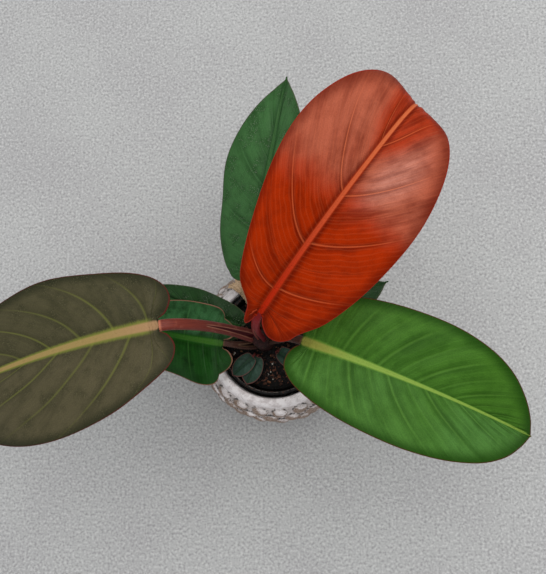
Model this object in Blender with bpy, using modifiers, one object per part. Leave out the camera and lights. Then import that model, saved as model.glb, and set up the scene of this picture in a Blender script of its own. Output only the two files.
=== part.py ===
"""Potted philodendron: a leafy plant in its nursery pot, standing in a knobbed ceramic pot.

Metres, +Z up. The origin is the centre of the ceramic pot's flat base.
"""

import math
from dataclasses import dataclass

import bmesh
import bpy
import numpy as np
from mathutils import Matrix, Vector

GAP = 0.0003
MARGIN = 0.0001

# Ceramic pot
POT_HEIGHT = 0.120
POT_MOUTH_RADIUS = 0.0625
POT_RIM_RADIUS = 0.0735
POT_SHOULDER_HEIGHT = 0.108
POT_BELLY_RADIUS = 0.0865
POT_BELLY_HEIGHT = 0.058
POT_FOOT_RADIUS = 0.066
POT_FLOOR_THICKNESS = 0.008
POT_INNER_FLOOR_RADIUS = 0.057
POT_INNER_FILLET = 0.012
POT_MOUTH_DRAFT = 0.0006
POT_MOUTH_ROUND = 0.0040
POT_MOUTH_CREST = 0.0014
POT_RIM_SHARES = (0.0, 0.2, 0.45, 0.72)
POT_FOOT_CHAMFER = 0.0030
POT_FOOT_LIFT = 0.0015
POT_SHOULDER_POWER = 2.0
POT_TAPER_POWER = 2.2
KNOBS_ROUND = 22
KNOB_PHASE = 0.773
KNOB_ROWS = 6
KNOB_HEIGHT = 0.0054
KNOB_COLUMNS = 4
KNOB_STEPS = 3
KNOB_HALF_WIDTH = 0.43
KNOB_HALF_ROW = 0.58

# Nursery pot
NURSERY_FLOOR = POT_FLOOR_THICKNESS + GAP
NURSERY_TOP = 0.1130
NURSERY_LIP_RADIUS = 0.0600
NURSERY_LIP_WIDTH = 0.0045
NURSERY_LIP_DEPTH = 0.0080
NURSERY_WALL = 0.0012
NURSERY_BASE_RADIUS = 0.0440
NURSERY_LIP_ROUND = 0.0010
NURSERY_LIP_SKIRT = 0.0012
NURSERY_LIP_DRAFT = 0.0004
NURSERY_LIP_TOP = 0.0030
NURSERY_FOOT_CHAMFER = 0.0020
NURSERY_STEPS = 36
DRAIN_RADIUS = 0.0045
DRAIN_RING_RADIUS = 0.0290
DRAIN_COUNT = 6
DRAIN_CUT_DEPTH = 0.0060

# Soil
SOIL_TOP = 0.1010
SOIL_SEED = 11
SOIL_LUMPS = 120
SOIL_LUMP_RADIUS = (0.0035, 0.0075)
SOIL_LUMP_HEIGHT = (0.0008, 0.0032)
SOIL_LUMP_REACH = 0.95
SOIL_STEPS = 40
SOIL_RINGS = 9
SOIL_FALL = 0.0025
SOIL_MIDDLE = 0.0550
HOLE_CLEAR_ABOVE = 0.0300
HOLE_SHARE = 2.3
JUVENILE_DEPTH = 0.0055

# Stem, a little behind and left of the pot's centre
STEM_X = -0.0100
STEM_Y = -0.0010
STEM_RADIUS = 0.0110
STEM_TOP = 0.1500
STEM_DEPTH = 0.0300
STEM_RING_PITCH = 0.0090
STEM_RING_SWELL = 0.0008
STEM_TAPER = 0.10
STEM_ROUND = 0.0010
STEM_PROFILE_STEPS = 14
STEM_STEPS = 18

# Blades
BLADE_THICKNESS = 0.0008
BLADE_ROWS = 20
BLADE_HALF_COLUMNS = 6
RIB_DEPTH_SHARE = 1.5
RIPPLES_ALONG = 2.6
PINCH_REACH = 0.045
SHARP_FROM = 0.35
SHARP_OVER = 0.40
SEAT_MARGIN = 0.0005
RIB_TAPER = 0.7
RIB_FADE = 0.8
ROW_SPREAD = 1.1
VEIN_BEND = 1.3
BASAL_BEND = 3.0
BASAL_POWER = 9
WELD = 0.00001

# Petioles: shares of the radius, and how the path leaves the stem and meets the blade
PETIOLE_FLATNESS = 0.85
PETIOLE_SPACING = 0.9
PETIOLE_LEAD = 0.45
PETIOLE_APPROACH = 0.30
PETIOLE_APPROACH_MOST = 0.022
SHEATH_DEEPENING = 0.15
GROOVE_DEPTH = 0.22
SHEATH_GROOVE_DEPTH = 0.55
GROOVE_WIDTH = 0.55

# Dry sheath over the pots' rims: radius from the pots' axis and height of its underside
DRY_HEADING = 120.5
DRY_WIDTH = 0.0068
DRY_THICKNESS = 0.0009
DRY_CURL = 0.0010
DRY_TAPER = 0.35
DRY_LINE = (
    (0.0450, 0.1042), (0.0500, 0.1062), (0.0535, 0.1105), (0.0568, 0.1136), (0.0603, 0.1160),
    (0.0632, 0.1196), (0.0655, 0.1205), (0.0688, 0.1192), (0.0720, 0.1160), (0.0742, 0.1128),
)


@dataclass(frozen=True)
class Leaf:
    """One leaf: where its blade meets its petiole, how the blade lies, and its petiole.

    Angles are degrees. Heading turns from +X towards +Y, rise is above the horizon, and the
    midrib's elevation falls by droop along the blade and by late past late_from. Left is the
    left side looking from the petiole to the tip. Fold is how far a half rises from flat, at
    the petiole and at the tip, and cup how far it curls back down at its margin. Slim narrows
    a half towards the petiole, and pinch only where it meets it. The petiole starts at root,
    on the stem's axis or in a hole in the soil, and leaves it at take_off.
    """

    name: str
    base: tuple
    heading: float
    rise: float
    droop: float
    length: float
    half_width: float
    root: tuple
    root_heading: float
    petiole_radius: float
    sway: float = 0.0
    late: float = 0.0
    late_from: float = 0.7
    roll: float = 0.0
    roll_change: float = 0.0
    fold_left: tuple = (12.0, 12.0)
    fold_right: tuple = (12.0, 12.0)
    cup: float = 15.0
    lobe: float = 1.0
    belly: float = 1.0
    sharp: float = 1.0
    side: float = 0.0
    slim_left: float = 0.0
    slim_right: float = 0.0
    wave: float = 0.002
    wave_count: float = 2.0
    wave_left: float = 0.0
    wave_right: float = 0.4
    ripple: float = 0.0
    pinch_left: float = 0.0
    pinch_right: float = 0.0
    rows: int = BLADE_ROWS
    half_columns: int = BLADE_HALF_COLUMNS
    colour: tuple = (0.03, 0.12, 0.02)
    petiole_colour: tuple = (0.12, 0.04, 0.03)
    take_off: float = 58.0
    sheath: float = 0.45
    sheath_widening: float = 0.22
    sides: int = 12
    rings: int = 12


def stem_axis(height):
    return (STEM_X, STEM_Y, height)


LEAVES = (
    Leaf(
        name="orange", base=(-0.003, 0.015, 0.2465), heading=51, rise=37, droop=43, late=105,
        late_from=0.72, length=0.256, half_width=0.0718, roll=9.5, fold_left=(45, 7),
        fold_right=(17.5, 8.5), cup=23, lobe=0.8, belly=0.81, sharp=1.14, side=0.045,
        slim_left=0.40, slim_right=-0.01, pinch_left=0.48, pinch_right=0.14, wave=0.0015,
        root=stem_axis(0.1503), root_heading=70, petiole_radius=0.0042, take_off=88, sheath=0.6,
        colour=(0.42, 0.06, 0.015), petiole_colour=(0.20, 0.012, 0.01),
    ),
    Leaf(
        name="left", base=(-0.092, 0.004, 0.2565), heading=190, rise=-2.5, droop=18, sway=13,
        length=0.2445, half_width=0.0712, roll=4.4, roll_change=-3.9, fold_left=(19.4, 3),
        fold_right=(7.3, 8.4), lobe=0.87, belly=0.97, side=0.12, slim_left=0.06,
        slim_right=-0.09,
        wave=0.002, wave_left=0.06, ripple=0.02, root=stem_axis(0.1280), root_heading=163,
        petiole_radius=0.0053, take_off=60,
        colour=(0.055, 0.045, 0.022), petiole_colour=(0.13, 0.04, 0.03),
    ),
    Leaf(
        name="right", base=(0.034, -0.008, 0.2220), heading=-20, rise=11.6, droop=47, sway=-5,
        length=0.2455, half_width=0.0608, roll=0.5, roll_change=-6.5, fold_left=(15, 20),
        fold_right=(17.5, 20.5), lobe=0.5, belly=1.02, sharp=1.1, side=0.02, wave=0.0015,
        root=stem_axis(0.1290), root_heading=-6, petiole_radius=0.0044, take_off=55, sheath=0.7,
        colour=(0.06, 0.19, 0.02), petiole_colour=(0.06, 0.025, 0.02),
    ),
    Leaf(
        name="back", base=(-0.0185, 0.0545, 0.1900), heading=78, rise=26.5, droop=44, sway=2.5,
        length=0.2135, half_width=0.0492, roll=-33, roll_change=8, fold_left=(4, 20),
        fold_right=(13, 22), lobe=0.4, belly=1.14, sharp=1.44, side=0.08, slim_left=0.10,
        wave=0.002, root=stem_axis(0.1220), root_heading=97, petiole_radius=0.0038, take_off=58,
        colour=(0.02, 0.085, 0.02),
    ),
    Leaf(
        name="lower_left", base=(-0.0493, -0.0062, 0.1545), heading=172, rise=-2, droop=31.5,
        sway=-10, length=0.1575, half_width=0.0402, roll=-14, roll_change=-4.5,
        fold_left=(9, 8.5), fold_right=(12, 12.5), lobe=1.16, belly=1.94, sharp=1.07, side=0.035,
        slim_left=-0.23, slim_right=-0.10, wave=0.0045, wave_left=0.11, wave_right=0.05,
        root=stem_axis(0.1130), root_heading=214, petiole_radius=0.0034, take_off=52, sheath=0.95,
        sheath_widening=0.65,
        rows=18, half_columns=5, colour=(0.015, 0.11, 0.015), petiole_colour=(0.07, 0.04, 0.03),
    ),
    Leaf(
        name="under_left", base=(-0.0335, 0.011, 0.1410), heading=157, rise=0, droop=28, sway=1,
        length=0.132, half_width=0.0225, roll=2, roll_change=5, fold_left=(14, 12),
        fold_right=(13, 12), lobe=0.5, belly=1.3, sharp=1.3, wave=0.002,
        root=stem_axis(0.1060), root_heading=152, petiole_radius=0.0028, take_off=50,
        rows=16, half_columns=5, colour=(0.012, 0.06, 0.015),
    ),
    Leaf(
        name="back_right", base=(0.015, 0.0155, 0.1550), heading=22.5, rise=11, droop=45,
        length=0.1235, half_width=0.0300, roll=-35, lobe=1.0, sharp=1.95, wave=0.002,
        root=stem_axis(0.1090), root_heading=42, petiole_radius=0.0028, take_off=52,
        rows=16, half_columns=5, colour=(0.015, 0.07, 0.03),
    ),
)

SOIL_ROOT = SOIL_TOP - JUVENILE_DEPTH
JUVENILES = (
    Leaf(
        name="juvenile_front", base=(-0.0225, -0.0185, 0.1205), heading=223, rise=6, droop=24,
        length=0.0300, half_width=0.0098, lobe=0.5, sharp=1.1, fold_left=(14, 10),
        fold_right=(14, 10), cup=24, wave=0.0004, root=(-0.0215, -0.0135, SOIL_ROOT),
        root_heading=240, petiole_radius=0.0011, rows=10, half_columns=4, sides=8, rings=8,
        colour=(0.02, 0.07, 0.045), petiole_colour=(0.16, 0.03, 0.025), take_off=88,
    ),
    Leaf(
        name="juvenile_under", base=(-0.0178, -0.0185, 0.1165), heading=249, rise=4, droop=16,
        length=0.0320, half_width=0.0112, lobe=0.5, sharp=1.1, cup=20, wave=0.0004,
        root=(-0.0150, -0.0185, SOIL_ROOT), root_heading=200, petiole_radius=0.0011,
        rows=10, half_columns=4, sides=8, rings=8, colour=(0.018, 0.06, 0.03),
        petiole_colour=(0.16, 0.03, 0.025), take_off=88,
    ),
    Leaf(
        name="juvenile_right", base=(0.0065, -0.0130, 0.1160), heading=-35, rise=8, droop=30,
        length=0.0340, half_width=0.0100, lobe=0.6, sharp=1.1, cup=20, wave=0.0004,
        root=(0.0020, -0.0140, SOIL_ROOT), root_heading=-10, petiole_radius=0.0011,
        rows=10, half_columns=4, sides=8, rings=8, colour=(0.018, 0.06, 0.03),
        petiole_colour=(0.16, 0.03, 0.025), take_off=88,
    ),
)

# Half outline of a blade, from the petiole to the tip: share of the length, share of the half width
BLADE_OUTLINE = (
    (-0.040, 0.15), (-0.066, 0.32), (-0.040, 0.52), (0.045, 0.72), (0.170, 0.89), (0.320, 0.98),
    (0.480, 1.00), (0.630, 0.93), (0.765, 0.78), (0.870, 0.55), (0.945, 0.28), (0.980, 0.11),
    (1.000, 0.00),
)


def clear_scene():
    """Remove every object that the file opened with."""
    for obj in list(bpy.data.objects):
        bpy.data.objects.remove(obj, do_unlink=True)


def new_collection(name):
    collection = bpy.data.collections.new(name)
    bpy.context.scene.collection.children.link(collection)
    return collection


def new_material(name, colour, roughness, metallic=0.0):
    material = bpy.data.materials.new(name)
    material.use_nodes = True
    shader = material.node_tree.nodes["Principled BSDF"]
    shader.inputs["Base Color"].default_value = (*colour, 1.0)
    shader.inputs["Roughness"].default_value = roughness
    shader.inputs["Metallic"].default_value = metallic
    material.diffuse_color = (*colour, 1.0)
    return material


def new_object(name, mesh, collection, material=None):
    obj = bpy.data.objects.new(name, mesh)
    collection.objects.link(obj)
    if material is not None:
        mesh.materials.append(material)
    return obj


def mesh_from_bmesh(name, bm):
    mesh = bpy.data.meshes.new(name)
    bm.to_mesh(mesh)
    bm.free()
    mesh.shade_smooth()
    return mesh


def profile_mesh(name, points):
    """Open chain of edges in the XZ plane."""
    bm = bmesh.new()
    chain = [bm.verts.new((radius, 0.0, height)) for radius, height in points]
    for first, second in zip(chain, chain[1:]):
        bm.edges.new((first, second))
    mesh = bpy.data.meshes.new(name)
    bm.to_mesh(mesh)
    bm.free()
    return mesh


def turn(obj, steps):
    """Turn an object's profile about Z into a closed body."""
    screw = obj.modifiers.new("turn", "SCREW")
    screw.axis = "Z"
    screw.angle = math.tau
    screw.steps = steps
    screw.render_steps = steps
    screw.use_merge_vertices = True
    screw.merge_threshold = 0.0001
    screw.use_smooth_shade = True
    return screw


def evaluated_mesh(obj, name):
    """Copy of an object's mesh with its modifiers applied."""
    graph = bpy.context.evaluated_depsgraph_get()
    mesh = bpy.data.meshes.new_from_object(obj.evaluated_get(graph))
    mesh.name = name
    return mesh


def turned_mesh(name, points, steps, collection):
    """Closed mesh turned from a profile that runs from the axis back to the axis."""
    guide = new_object(name, profile_mesh(name, points), collection)
    turn(guide, steps)
    bpy.context.view_layer.update()
    mesh = evaluated_mesh(guide, name)
    bpy.data.objects.remove(guide, do_unlink=True)
    return mesh


def smooth_step(x):
    x = min(max(x, 0.0), 1.0)
    return x * x * (3.0 - 2.0 * x)


# Ceramic pot


def pot_wall_radius(height):
    """Radius of the pot's outer wall between its knobs."""
    if height > POT_BELLY_HEIGHT:
        share = (height - POT_BELLY_HEIGHT) / (POT_SHOULDER_HEIGHT - POT_BELLY_HEIGHT)
        return POT_BELLY_RADIUS - (POT_BELLY_RADIUS - POT_RIM_RADIUS) * share**POT_SHOULDER_POWER
    share = (POT_BELLY_HEIGHT - height) / POT_BELLY_HEIGHT
    return POT_BELLY_RADIUS - (POT_BELLY_RADIUS - POT_FOOT_RADIUS) * share**POT_TAPER_POWER


def knob_relief(angle, row_place):
    """Height of the knobs above the wall; rows are staggered by half a knob."""
    relief = 0.0
    for row in (math.floor(row_place), math.floor(row_place) - 1, math.floor(row_place) + 1):
        if not 0 <= row < KNOB_ROWS:
            continue
        turns = angle / math.tau * KNOBS_ROUND - KNOB_PHASE - 0.5 * (row % 2)
        across = (turns - round(turns)) / KNOB_HALF_WIDTH
        along = (row_place - row - 0.5) / KNOB_HALF_ROW
        reach = 1.0 - across**2 - along**2
        relief = max(relief, math.sqrt(max(reach, 0.0)))
    return KNOB_HEIGHT * relief


def pot_profile():
    """From the inner floor's centre, up and over the rim, down the outside to the base's centre."""
    crest_radius = POT_MOUTH_RADIUS + POT_MOUTH_CREST
    rim_drop = POT_HEIGHT - POT_SHOULDER_HEIGHT
    points = [(0.0, POT_FLOOR_THICKNESS), (POT_INNER_FLOOR_RADIUS, POT_FLOOR_THICKNESS)]
    points.append((POT_MOUTH_RADIUS - POT_MOUTH_DRAFT, POT_FLOOR_THICKNESS + POT_INNER_FILLET))
    points.append((POT_MOUTH_RADIUS, POT_HEIGHT - POT_MOUTH_ROUND))
    for share in POT_RIM_SHARES:
        angle = math.radians(90.0 * (1.0 - share))
        points.append((
            crest_radius + (POT_RIM_RADIUS - crest_radius) * math.cos(angle),
            POT_SHOULDER_HEIGHT + rim_drop * math.sin(angle),
        ))
    wall_steps = KNOB_ROWS * KNOB_STEPS
    for index in range(wall_steps + 1):
        height = POT_SHOULDER_HEIGHT * (1.0 - index / wall_steps)
        height = max(height, POT_FOOT_LIFT)
        points.append((pot_wall_radius(height), height))
    points.append((POT_FOOT_RADIUS - POT_FOOT_CHAMFER, 0.0))
    points.append((0.0, 0.0))
    return points


def build_outer_pot(collection, material):
    steps = KNOBS_ROUND * KNOB_COLUMNS
    mesh = turned_mesh("outer_pot", pot_profile(), steps, collection)
    for vertex in mesh.vertices:
        radius = math.hypot(vertex.co.x, vertex.co.y)
        height = vertex.co.z
        if radius < POT_FOOT_RADIUS - MARGIN or not MARGIN < height < POT_SHOULDER_HEIGHT - MARGIN:
            continue
        angle = math.atan2(vertex.co.y, vertex.co.x) % math.tau
        row_place = (POT_SHOULDER_HEIGHT - height) / POT_SHOULDER_HEIGHT * KNOB_ROWS
        wanted = radius + knob_relief(angle, row_place)
        vertex.co.x *= wanted / radius
        vertex.co.y *= wanted / radius
    mesh.shade_smooth()
    return new_object("outer_pot", mesh, collection, material)


# Nursery pot and soil


def nursery_inner_radius(height):
    """Inner radius of the nursery pot's tapered wall."""
    share = (height - NURSERY_FLOOR) / (NURSERY_TOP - NURSERY_FLOOR)
    inner_top = NURSERY_LIP_RADIUS - NURSERY_LIP_WIDTH
    inner_base = NURSERY_BASE_RADIUS - NURSERY_WALL
    return inner_base + (inner_top - inner_base) * share


def build_nursery_pot(collection, cutters, material):
    floor_top = NURSERY_FLOOR + NURSERY_WALL
    lip_low = NURSERY_TOP - NURSERY_LIP_DEPTH
    lip_inner = NURSERY_LIP_RADIUS - NURSERY_LIP_WIDTH
    skirt_inner = NURSERY_LIP_RADIUS - NURSERY_LIP_DRAFT - NURSERY_LIP_SKIRT
    chamfer_low = NURSERY_TOP - 2 * NURSERY_LIP_ROUND
    shoulder = NURSERY_TOP - NURSERY_LIP_TOP - NURSERY_LIP_ROUND
    points = [
        (0.0, floor_top),
        (nursery_inner_radius(floor_top), floor_top),
        (nursery_inner_radius(chamfer_low), chamfer_low),
        (lip_inner + NURSERY_LIP_ROUND, NURSERY_TOP),
        (NURSERY_LIP_RADIUS - NURSERY_LIP_ROUND, NURSERY_TOP),
        (NURSERY_LIP_RADIUS, NURSERY_TOP - NURSERY_LIP_ROUND),
        (NURSERY_LIP_RADIUS - NURSERY_LIP_DRAFT, lip_low),
        (skirt_inner, lip_low),
        (skirt_inner - NURSERY_LIP_DRAFT, NURSERY_TOP - NURSERY_LIP_TOP),
        (nursery_inner_radius(shoulder) + NURSERY_WALL, shoulder),
        (NURSERY_BASE_RADIUS, NURSERY_FLOOR + NURSERY_FOOT_CHAMFER),
        (NURSERY_BASE_RADIUS - NURSERY_FOOT_CHAMFER, NURSERY_FLOOR),
        (0.0, NURSERY_FLOOR),
    ]
    mesh = turned_mesh("nursery_pot", points, NURSERY_STEPS, collection)
    pot = new_object("nursery_pot", mesh, collection, material)
    for index in range(DRAIN_COUNT):
        angle = math.tau * (index + 0.5) / DRAIN_COUNT
        bm = bmesh.new()
        bmesh.ops.create_cone(
            bm, cap_ends=True, segments=8, radius1=DRAIN_RADIUS, radius2=DRAIN_RADIUS,
            depth=DRAIN_CUT_DEPTH,
        )
        cutter = new_object(f"drain_{index}", mesh_from_bmesh(f"drain_{index}", bm), cutters)
        cutter.location = (
            DRAIN_RING_RADIUS * math.cos(angle), DRAIN_RING_RADIUS * math.sin(angle), NURSERY_FLOOR
        )
        hide_guide(cutter)
        cut(pot, cutter)
    return pot


def hide_guide(obj):
    obj.hide_render = True
    obj.display_type = "WIRE"


def cut(obj, cutter):
    boolean = obj.modifiers.new("cut_" + cutter.name, "BOOLEAN")
    boolean.operation = "DIFFERENCE"
    boolean.solver = "EXACT"
    boolean.object = cutter


def soil_height(x, y, lumps):
    """Soil surface: a low mound with bark lumps standing out of it."""
    radius = math.hypot(x, y)
    height = SOIL_TOP - SOIL_FALL * (radius / nursery_inner_radius(SOIL_TOP)) ** 2
    rise = 0.0
    for lump_x, lump_y, lump_radius, lump_height in lumps:
        reach = 1.0 - ((x - lump_x) ** 2 + (y - lump_y) ** 2) / lump_radius**2
        rise = max(rise, lump_height * max(reach, 0.0))
    return height + rise


def build_soil(collection, cutters, material, holes):
    """Tapered body of soil with a lumpy top and a plain hole for each stem."""
    bottom = NURSERY_FLOOR + NURSERY_WALL + GAP
    top_radius = nursery_inner_radius(SOIL_TOP) - 2 * GAP
    points = []
    for ring in range(SOIL_RINGS):
        points.append((top_radius * ring / (SOIL_RINGS - 1), SOIL_TOP))
    points.append((nursery_inner_radius(SOIL_MIDDLE) - 2 * GAP, SOIL_MIDDLE))
    points.append((nursery_inner_radius(bottom) - 2 * GAP, bottom))
    points.append((0.0, bottom))
    mesh = turned_mesh("soil", points, SOIL_STEPS, collection)
    draw = np.random.default_rng(SOIL_SEED)
    lumps = []
    for _ in range(SOIL_LUMPS):
        distance = top_radius * math.sqrt(draw.random()) * SOIL_LUMP_REACH
        angle = math.tau * draw.random()
        lumps.append((
            distance * math.cos(angle), distance * math.sin(angle),
            draw.uniform(*SOIL_LUMP_RADIUS), draw.uniform(*SOIL_LUMP_HEIGHT),
        ))
    for vertex in mesh.vertices:
        if vertex.co.z > SOIL_TOP - MARGIN:
            radius = math.hypot(vertex.co.x, vertex.co.y)
            if radius < top_radius - MARGIN:
                vertex.co.z = soil_height(vertex.co.x, vertex.co.y, lumps)
            else:
                vertex.co.z = SOIL_TOP - SOIL_FALL
    mesh.shade_smooth()
    soil = new_object("soil", mesh, collection, material)
    for name, x, y, radius, depth in holes:
        bm = bmesh.new()
        height = depth + HOLE_CLEAR_ABOVE
        bmesh.ops.create_cone(
            bm, cap_ends=True, segments=16, radius1=radius, radius2=radius, depth=height,
            matrix=Matrix.Translation((x, y, SOIL_TOP - depth + height / 2)),
        )
        cutter = new_object(name, mesh_from_bmesh(name, bm), cutters)
        hide_guide(cutter)
        cut(soil, cutter)
    return soil


# Stem, petioles and blades


def stem_radius(height):
    """Stem radius with the swollen rings that old leaves leave."""
    above = height - SOIL_TOP
    swell = STEM_RING_SWELL * (0.5 + 0.5 * math.cos(math.tau * above / STEM_RING_PITCH))
    taper = 1.0 - STEM_TAPER * above / (STEM_TOP - SOIL_TOP)
    return STEM_RADIUS * taper - STEM_RING_SWELL + swell


def stem_profile(grow):
    bottom = SOIL_TOP - STEM_DEPTH - grow
    top = STEM_TOP + grow
    points = [(0.0, top), (stem_radius(STEM_TOP) + grow - STEM_ROUND, top)]
    for index in range(STEM_PROFILE_STEPS + 1):
        share = index / STEM_PROFILE_STEPS
        height = STEM_TOP - STEM_ROUND + (bottom - STEM_TOP + 2 * STEM_ROUND) * share
        points.append((stem_radius(max(height, SOIL_TOP)) + grow, height))
    points.append((stem_radius(SOIL_TOP) + grow - STEM_ROUND, bottom))
    points.append((0.0, bottom))
    return points


def build_stem(collection, cutters, material):
    """The stem, and a slightly larger body that trims what stands against it."""
    mesh = turned_mesh("stem", stem_profile(0.0), STEM_STEPS, collection)
    mesh.transform(Matrix.Translation((STEM_X, STEM_Y, 0.0)))
    stem = new_object("stem", mesh, collection, material)
    mesh = turned_mesh("stem_clearance", stem_profile(GAP), STEM_STEPS, collection)
    mesh.transform(Matrix.Translation((STEM_X, STEM_Y, 0.0)))
    clearance = new_object("stem_clearance", mesh, cutters)
    hide_guide(clearance)
    return stem, clearance


def blade_angles(leaf, share):
    """Elevation and heading of the midrib, in radians, at a share of the blade's length."""
    share = min(max(share, 0.0), 1.0)
    past = max(share - leaf.late_from, 0.0) / (1.0 - leaf.late_from)
    elevation = leaf.rise - leaf.droop * share - leaf.late * past**2
    return math.radians(elevation), math.radians(leaf.heading + leaf.sway * share)


def direction(elevation, heading):
    return Vector((
        math.cos(elevation) * math.cos(heading),
        math.cos(elevation) * math.sin(heading),
        math.sin(elevation),
    ))


def midrib_path(leaf, count=80):
    """Points along the midrib, by adding up its direction."""
    points = [Vector(leaf.base)]
    step = leaf.length / count
    for index in range(count):
        points.append(points[-1] + direction(*blade_angles(leaf, (index + 0.5) / count)) * step)
    return points


def midrib_frame(leaf, path, share):
    """Point, forward, left and up directions of the midrib; straight behind the petiole's end."""
    count = len(path) - 1
    place = min(max(share, 0.0), 1.0) * count
    index = min(int(place), count - 1)
    point = path[index].lerp(path[index + 1], place - index)
    elevation, heading = blade_angles(leaf, share)
    forward = direction(elevation, heading)
    left = Vector((-math.sin(heading), math.cos(heading), 0.0))
    up = forward.cross(left)
    roll = math.radians(leaf.roll + leaf.roll_change * min(max(share, 0.0), 1.0))
    turned_left = left * math.cos(roll) + up * math.sin(roll)
    turned_up = up * math.cos(roll) - left * math.sin(roll)
    if share < 0.0:
        point = point + forward * (share * leaf.length)
    return point, forward, turned_left, turned_up


def blade_point(leaf, path, along, across):
    """Point of the blade's upper face; along and across are flat distances, left positive."""
    share = along / leaf.length
    point, _, left, up = midrib_frame(leaf, path, share)
    inside = min(max(share, 0.0), 1.0)
    reach = abs(across)
    side = 1.0 if across > 0.0 else -1.0
    start, end = leaf.fold_left if across > 0.0 else leaf.fold_right
    tilt = math.radians(start + (end - start) * inside - 0.5 * leaf.cup * reach / leaf.half_width)
    phase = leaf.wave_left if across > 0.0 else leaf.wave_right
    wave = leaf.wave * (reach / leaf.half_width) ** 2
    wave *= math.sin(math.tau * (leaf.wave_count * share + phase))
    return point + left * (side * reach * math.cos(tilt)) + up * (reach * math.sin(tilt) + wave)


def spline_point(points, place):
    """Point of a Catmull-Rom curve through points; place 1.5 is halfway from point 1 to point 2."""
    last = len(points) - 1
    index = min(int(place), last - 1)
    part = place - index
    before = points[index - 1] if index > 0 else 2 * points[0] - points[1]
    after = points[index + 2] if index + 2 <= last else 2 * points[last] - points[last - 1]
    first, second = points[index], points[index + 1]
    return 0.5 * (
        2 * first
        + (second - before) * part
        + (2 * before - 5 * first + 4 * second - after) * part**2
        + (3 * first - before - 3 * second + after) * part**3
    )


def margin_point(leaf, share, side):
    """Flat place of the margin, from the petiole's seat at share 0 to the tip at share 1."""
    seat = seat_half_width(leaf) / leaf.half_width
    outline = [np.array((0.0, seat))]
    for along, across in BLADE_OUTLINE:
        outline.append(np.array((along * leaf.lobe if along < 0.0 else along, across)))
    along, across = spline_point(outline, share * (len(outline) - 1))
    across = max(across, 0.0)
    inside = min(max(along, 0.0), 1.0)
    across = across ** (1.0 + (leaf.sharp - 1.0) * smooth_step((inside - SHARP_FROM) / SHARP_OVER))
    slim = leaf.slim_left if side > 0 else leaf.slim_right
    across *= 1.0 - slim * (1.0 - inside) ** 2
    if side < 0:
        ripple = leaf.ripple * math.cos(math.tau * RIPPLES_ALONG * inside)
        across *= 1.0 + ripple * min(share * 4, 1.0)
    across *= 1.0 + leaf.side * side
    pinch = leaf.pinch_left if side > 0 else leaf.pinch_right
    across *= 1.0 - pinch * math.exp(-((inside / PINCH_REACH) ** 2))
    if share == 0.0:
        across = seat
    if along > 0.0:
        along = inside**leaf.belly
    return along * leaf.length, across * leaf.half_width


def seat_half_width(leaf):
    return leaf.petiole_radius + SEAT_MARGIN


def blade_place(leaf, row, column):
    """Flat place of a grid point: rows follow the side veins, columns run beside the midrib."""
    share = row / leaf.rows
    side = 1 if column > 0 else -1
    along, across = margin_point(leaf, share, side)
    spine = leaf.length * share**ROW_SPREAD
    if across < WELD:
        return leaf.length, 0.0, 0.0
    rib_half = min(seat_half_width(leaf) * (1.0 - RIB_TAPER * share), 0.5 * across)
    inner = rib_half / across
    if column == 0:
        return spine, 0.0, 1.0
    part = (abs(column) - 1) / (leaf.half_columns - 1)
    fraction = inner + (1.0 - inner) * part**ROW_SPREAD
    bend = VEIN_BEND + BASAL_BEND * (1.0 - share) ** BASAL_POWER
    return spine + (along - spine) * fraction**bend, side * across * fraction, 0.0


def build_blade(leaf, collection, material):
    """Blade: a bent sheet with a raised midrib below, thickened downwards."""
    path = midrib_path(leaf)
    rib_depth = leaf.petiole_radius * RIB_DEPTH_SHARE
    bm = bmesh.new()
    columns = 2 * leaf.half_columns
    bmesh.ops.create_grid(bm, x_segments=columns, y_segments=leaf.rows, size=1.0)
    group = bm.verts.layers.deform.new()
    for vertex in bm.verts:
        column = round(vertex.co.x * leaf.half_columns)
        row = round((vertex.co.y + 1.0) * 0.5 * leaf.rows)
        along, across, rib = blade_place(leaf, row, -column)
        vertex.co = blade_point(leaf, path, along, across)
        share = row / leaf.rows
        vertex[group][0] = rib * (1.0 - share) ** RIB_FADE
    bmesh.ops.remove_doubles(bm, verts=bm.verts, dist=WELD)
    bmesh.ops.triangulate(bm, faces=bm.faces)
    name = leaf.name + "_blade"
    blade = new_object(name, mesh_from_bmesh(name, bm), collection, material)
    blade.vertex_groups.new(name="rib")
    solidify = blade.modifiers.new("thickness", "SOLIDIFY")
    solidify.thickness = rib_depth
    solidify.offset = -1.0
    solidify.vertex_group = "rib"
    solidify.thickness_vertex_group = BLADE_THICKNESS / rib_depth
    return blade


def petiole_path(leaf, count):
    """Points from the petiole's root to the blade's seat, and the seat's directions."""
    path = midrib_path(leaf)
    point, forward, _, up = midrib_frame(leaf, path, 0.0)
    heading = math.radians(leaf.root_heading)
    start = Vector(leaf.root)
    end = point - up * (leaf.petiole_radius * PETIOLE_FLATNESS) - forward * (GAP * 1.5)
    leave = direction(math.radians(leaf.take_off), heading)
    span = (end - start).length
    lead = start + leave * span * PETIOLE_LEAD
    approach = end - forward * min(span * PETIOLE_APPROACH, PETIOLE_APPROACH_MOST)
    points = []
    for index in range(count + 1):
        t = (index / count) ** PETIOLE_SPACING
        first = start.lerp(lead, t)
        middle = lead.lerp(approach, t)
        third = approach.lerp(end, t)
        points.append(first.lerp(middle, t).lerp(middle.lerp(third, t), t))
    return points, forward, up


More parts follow.
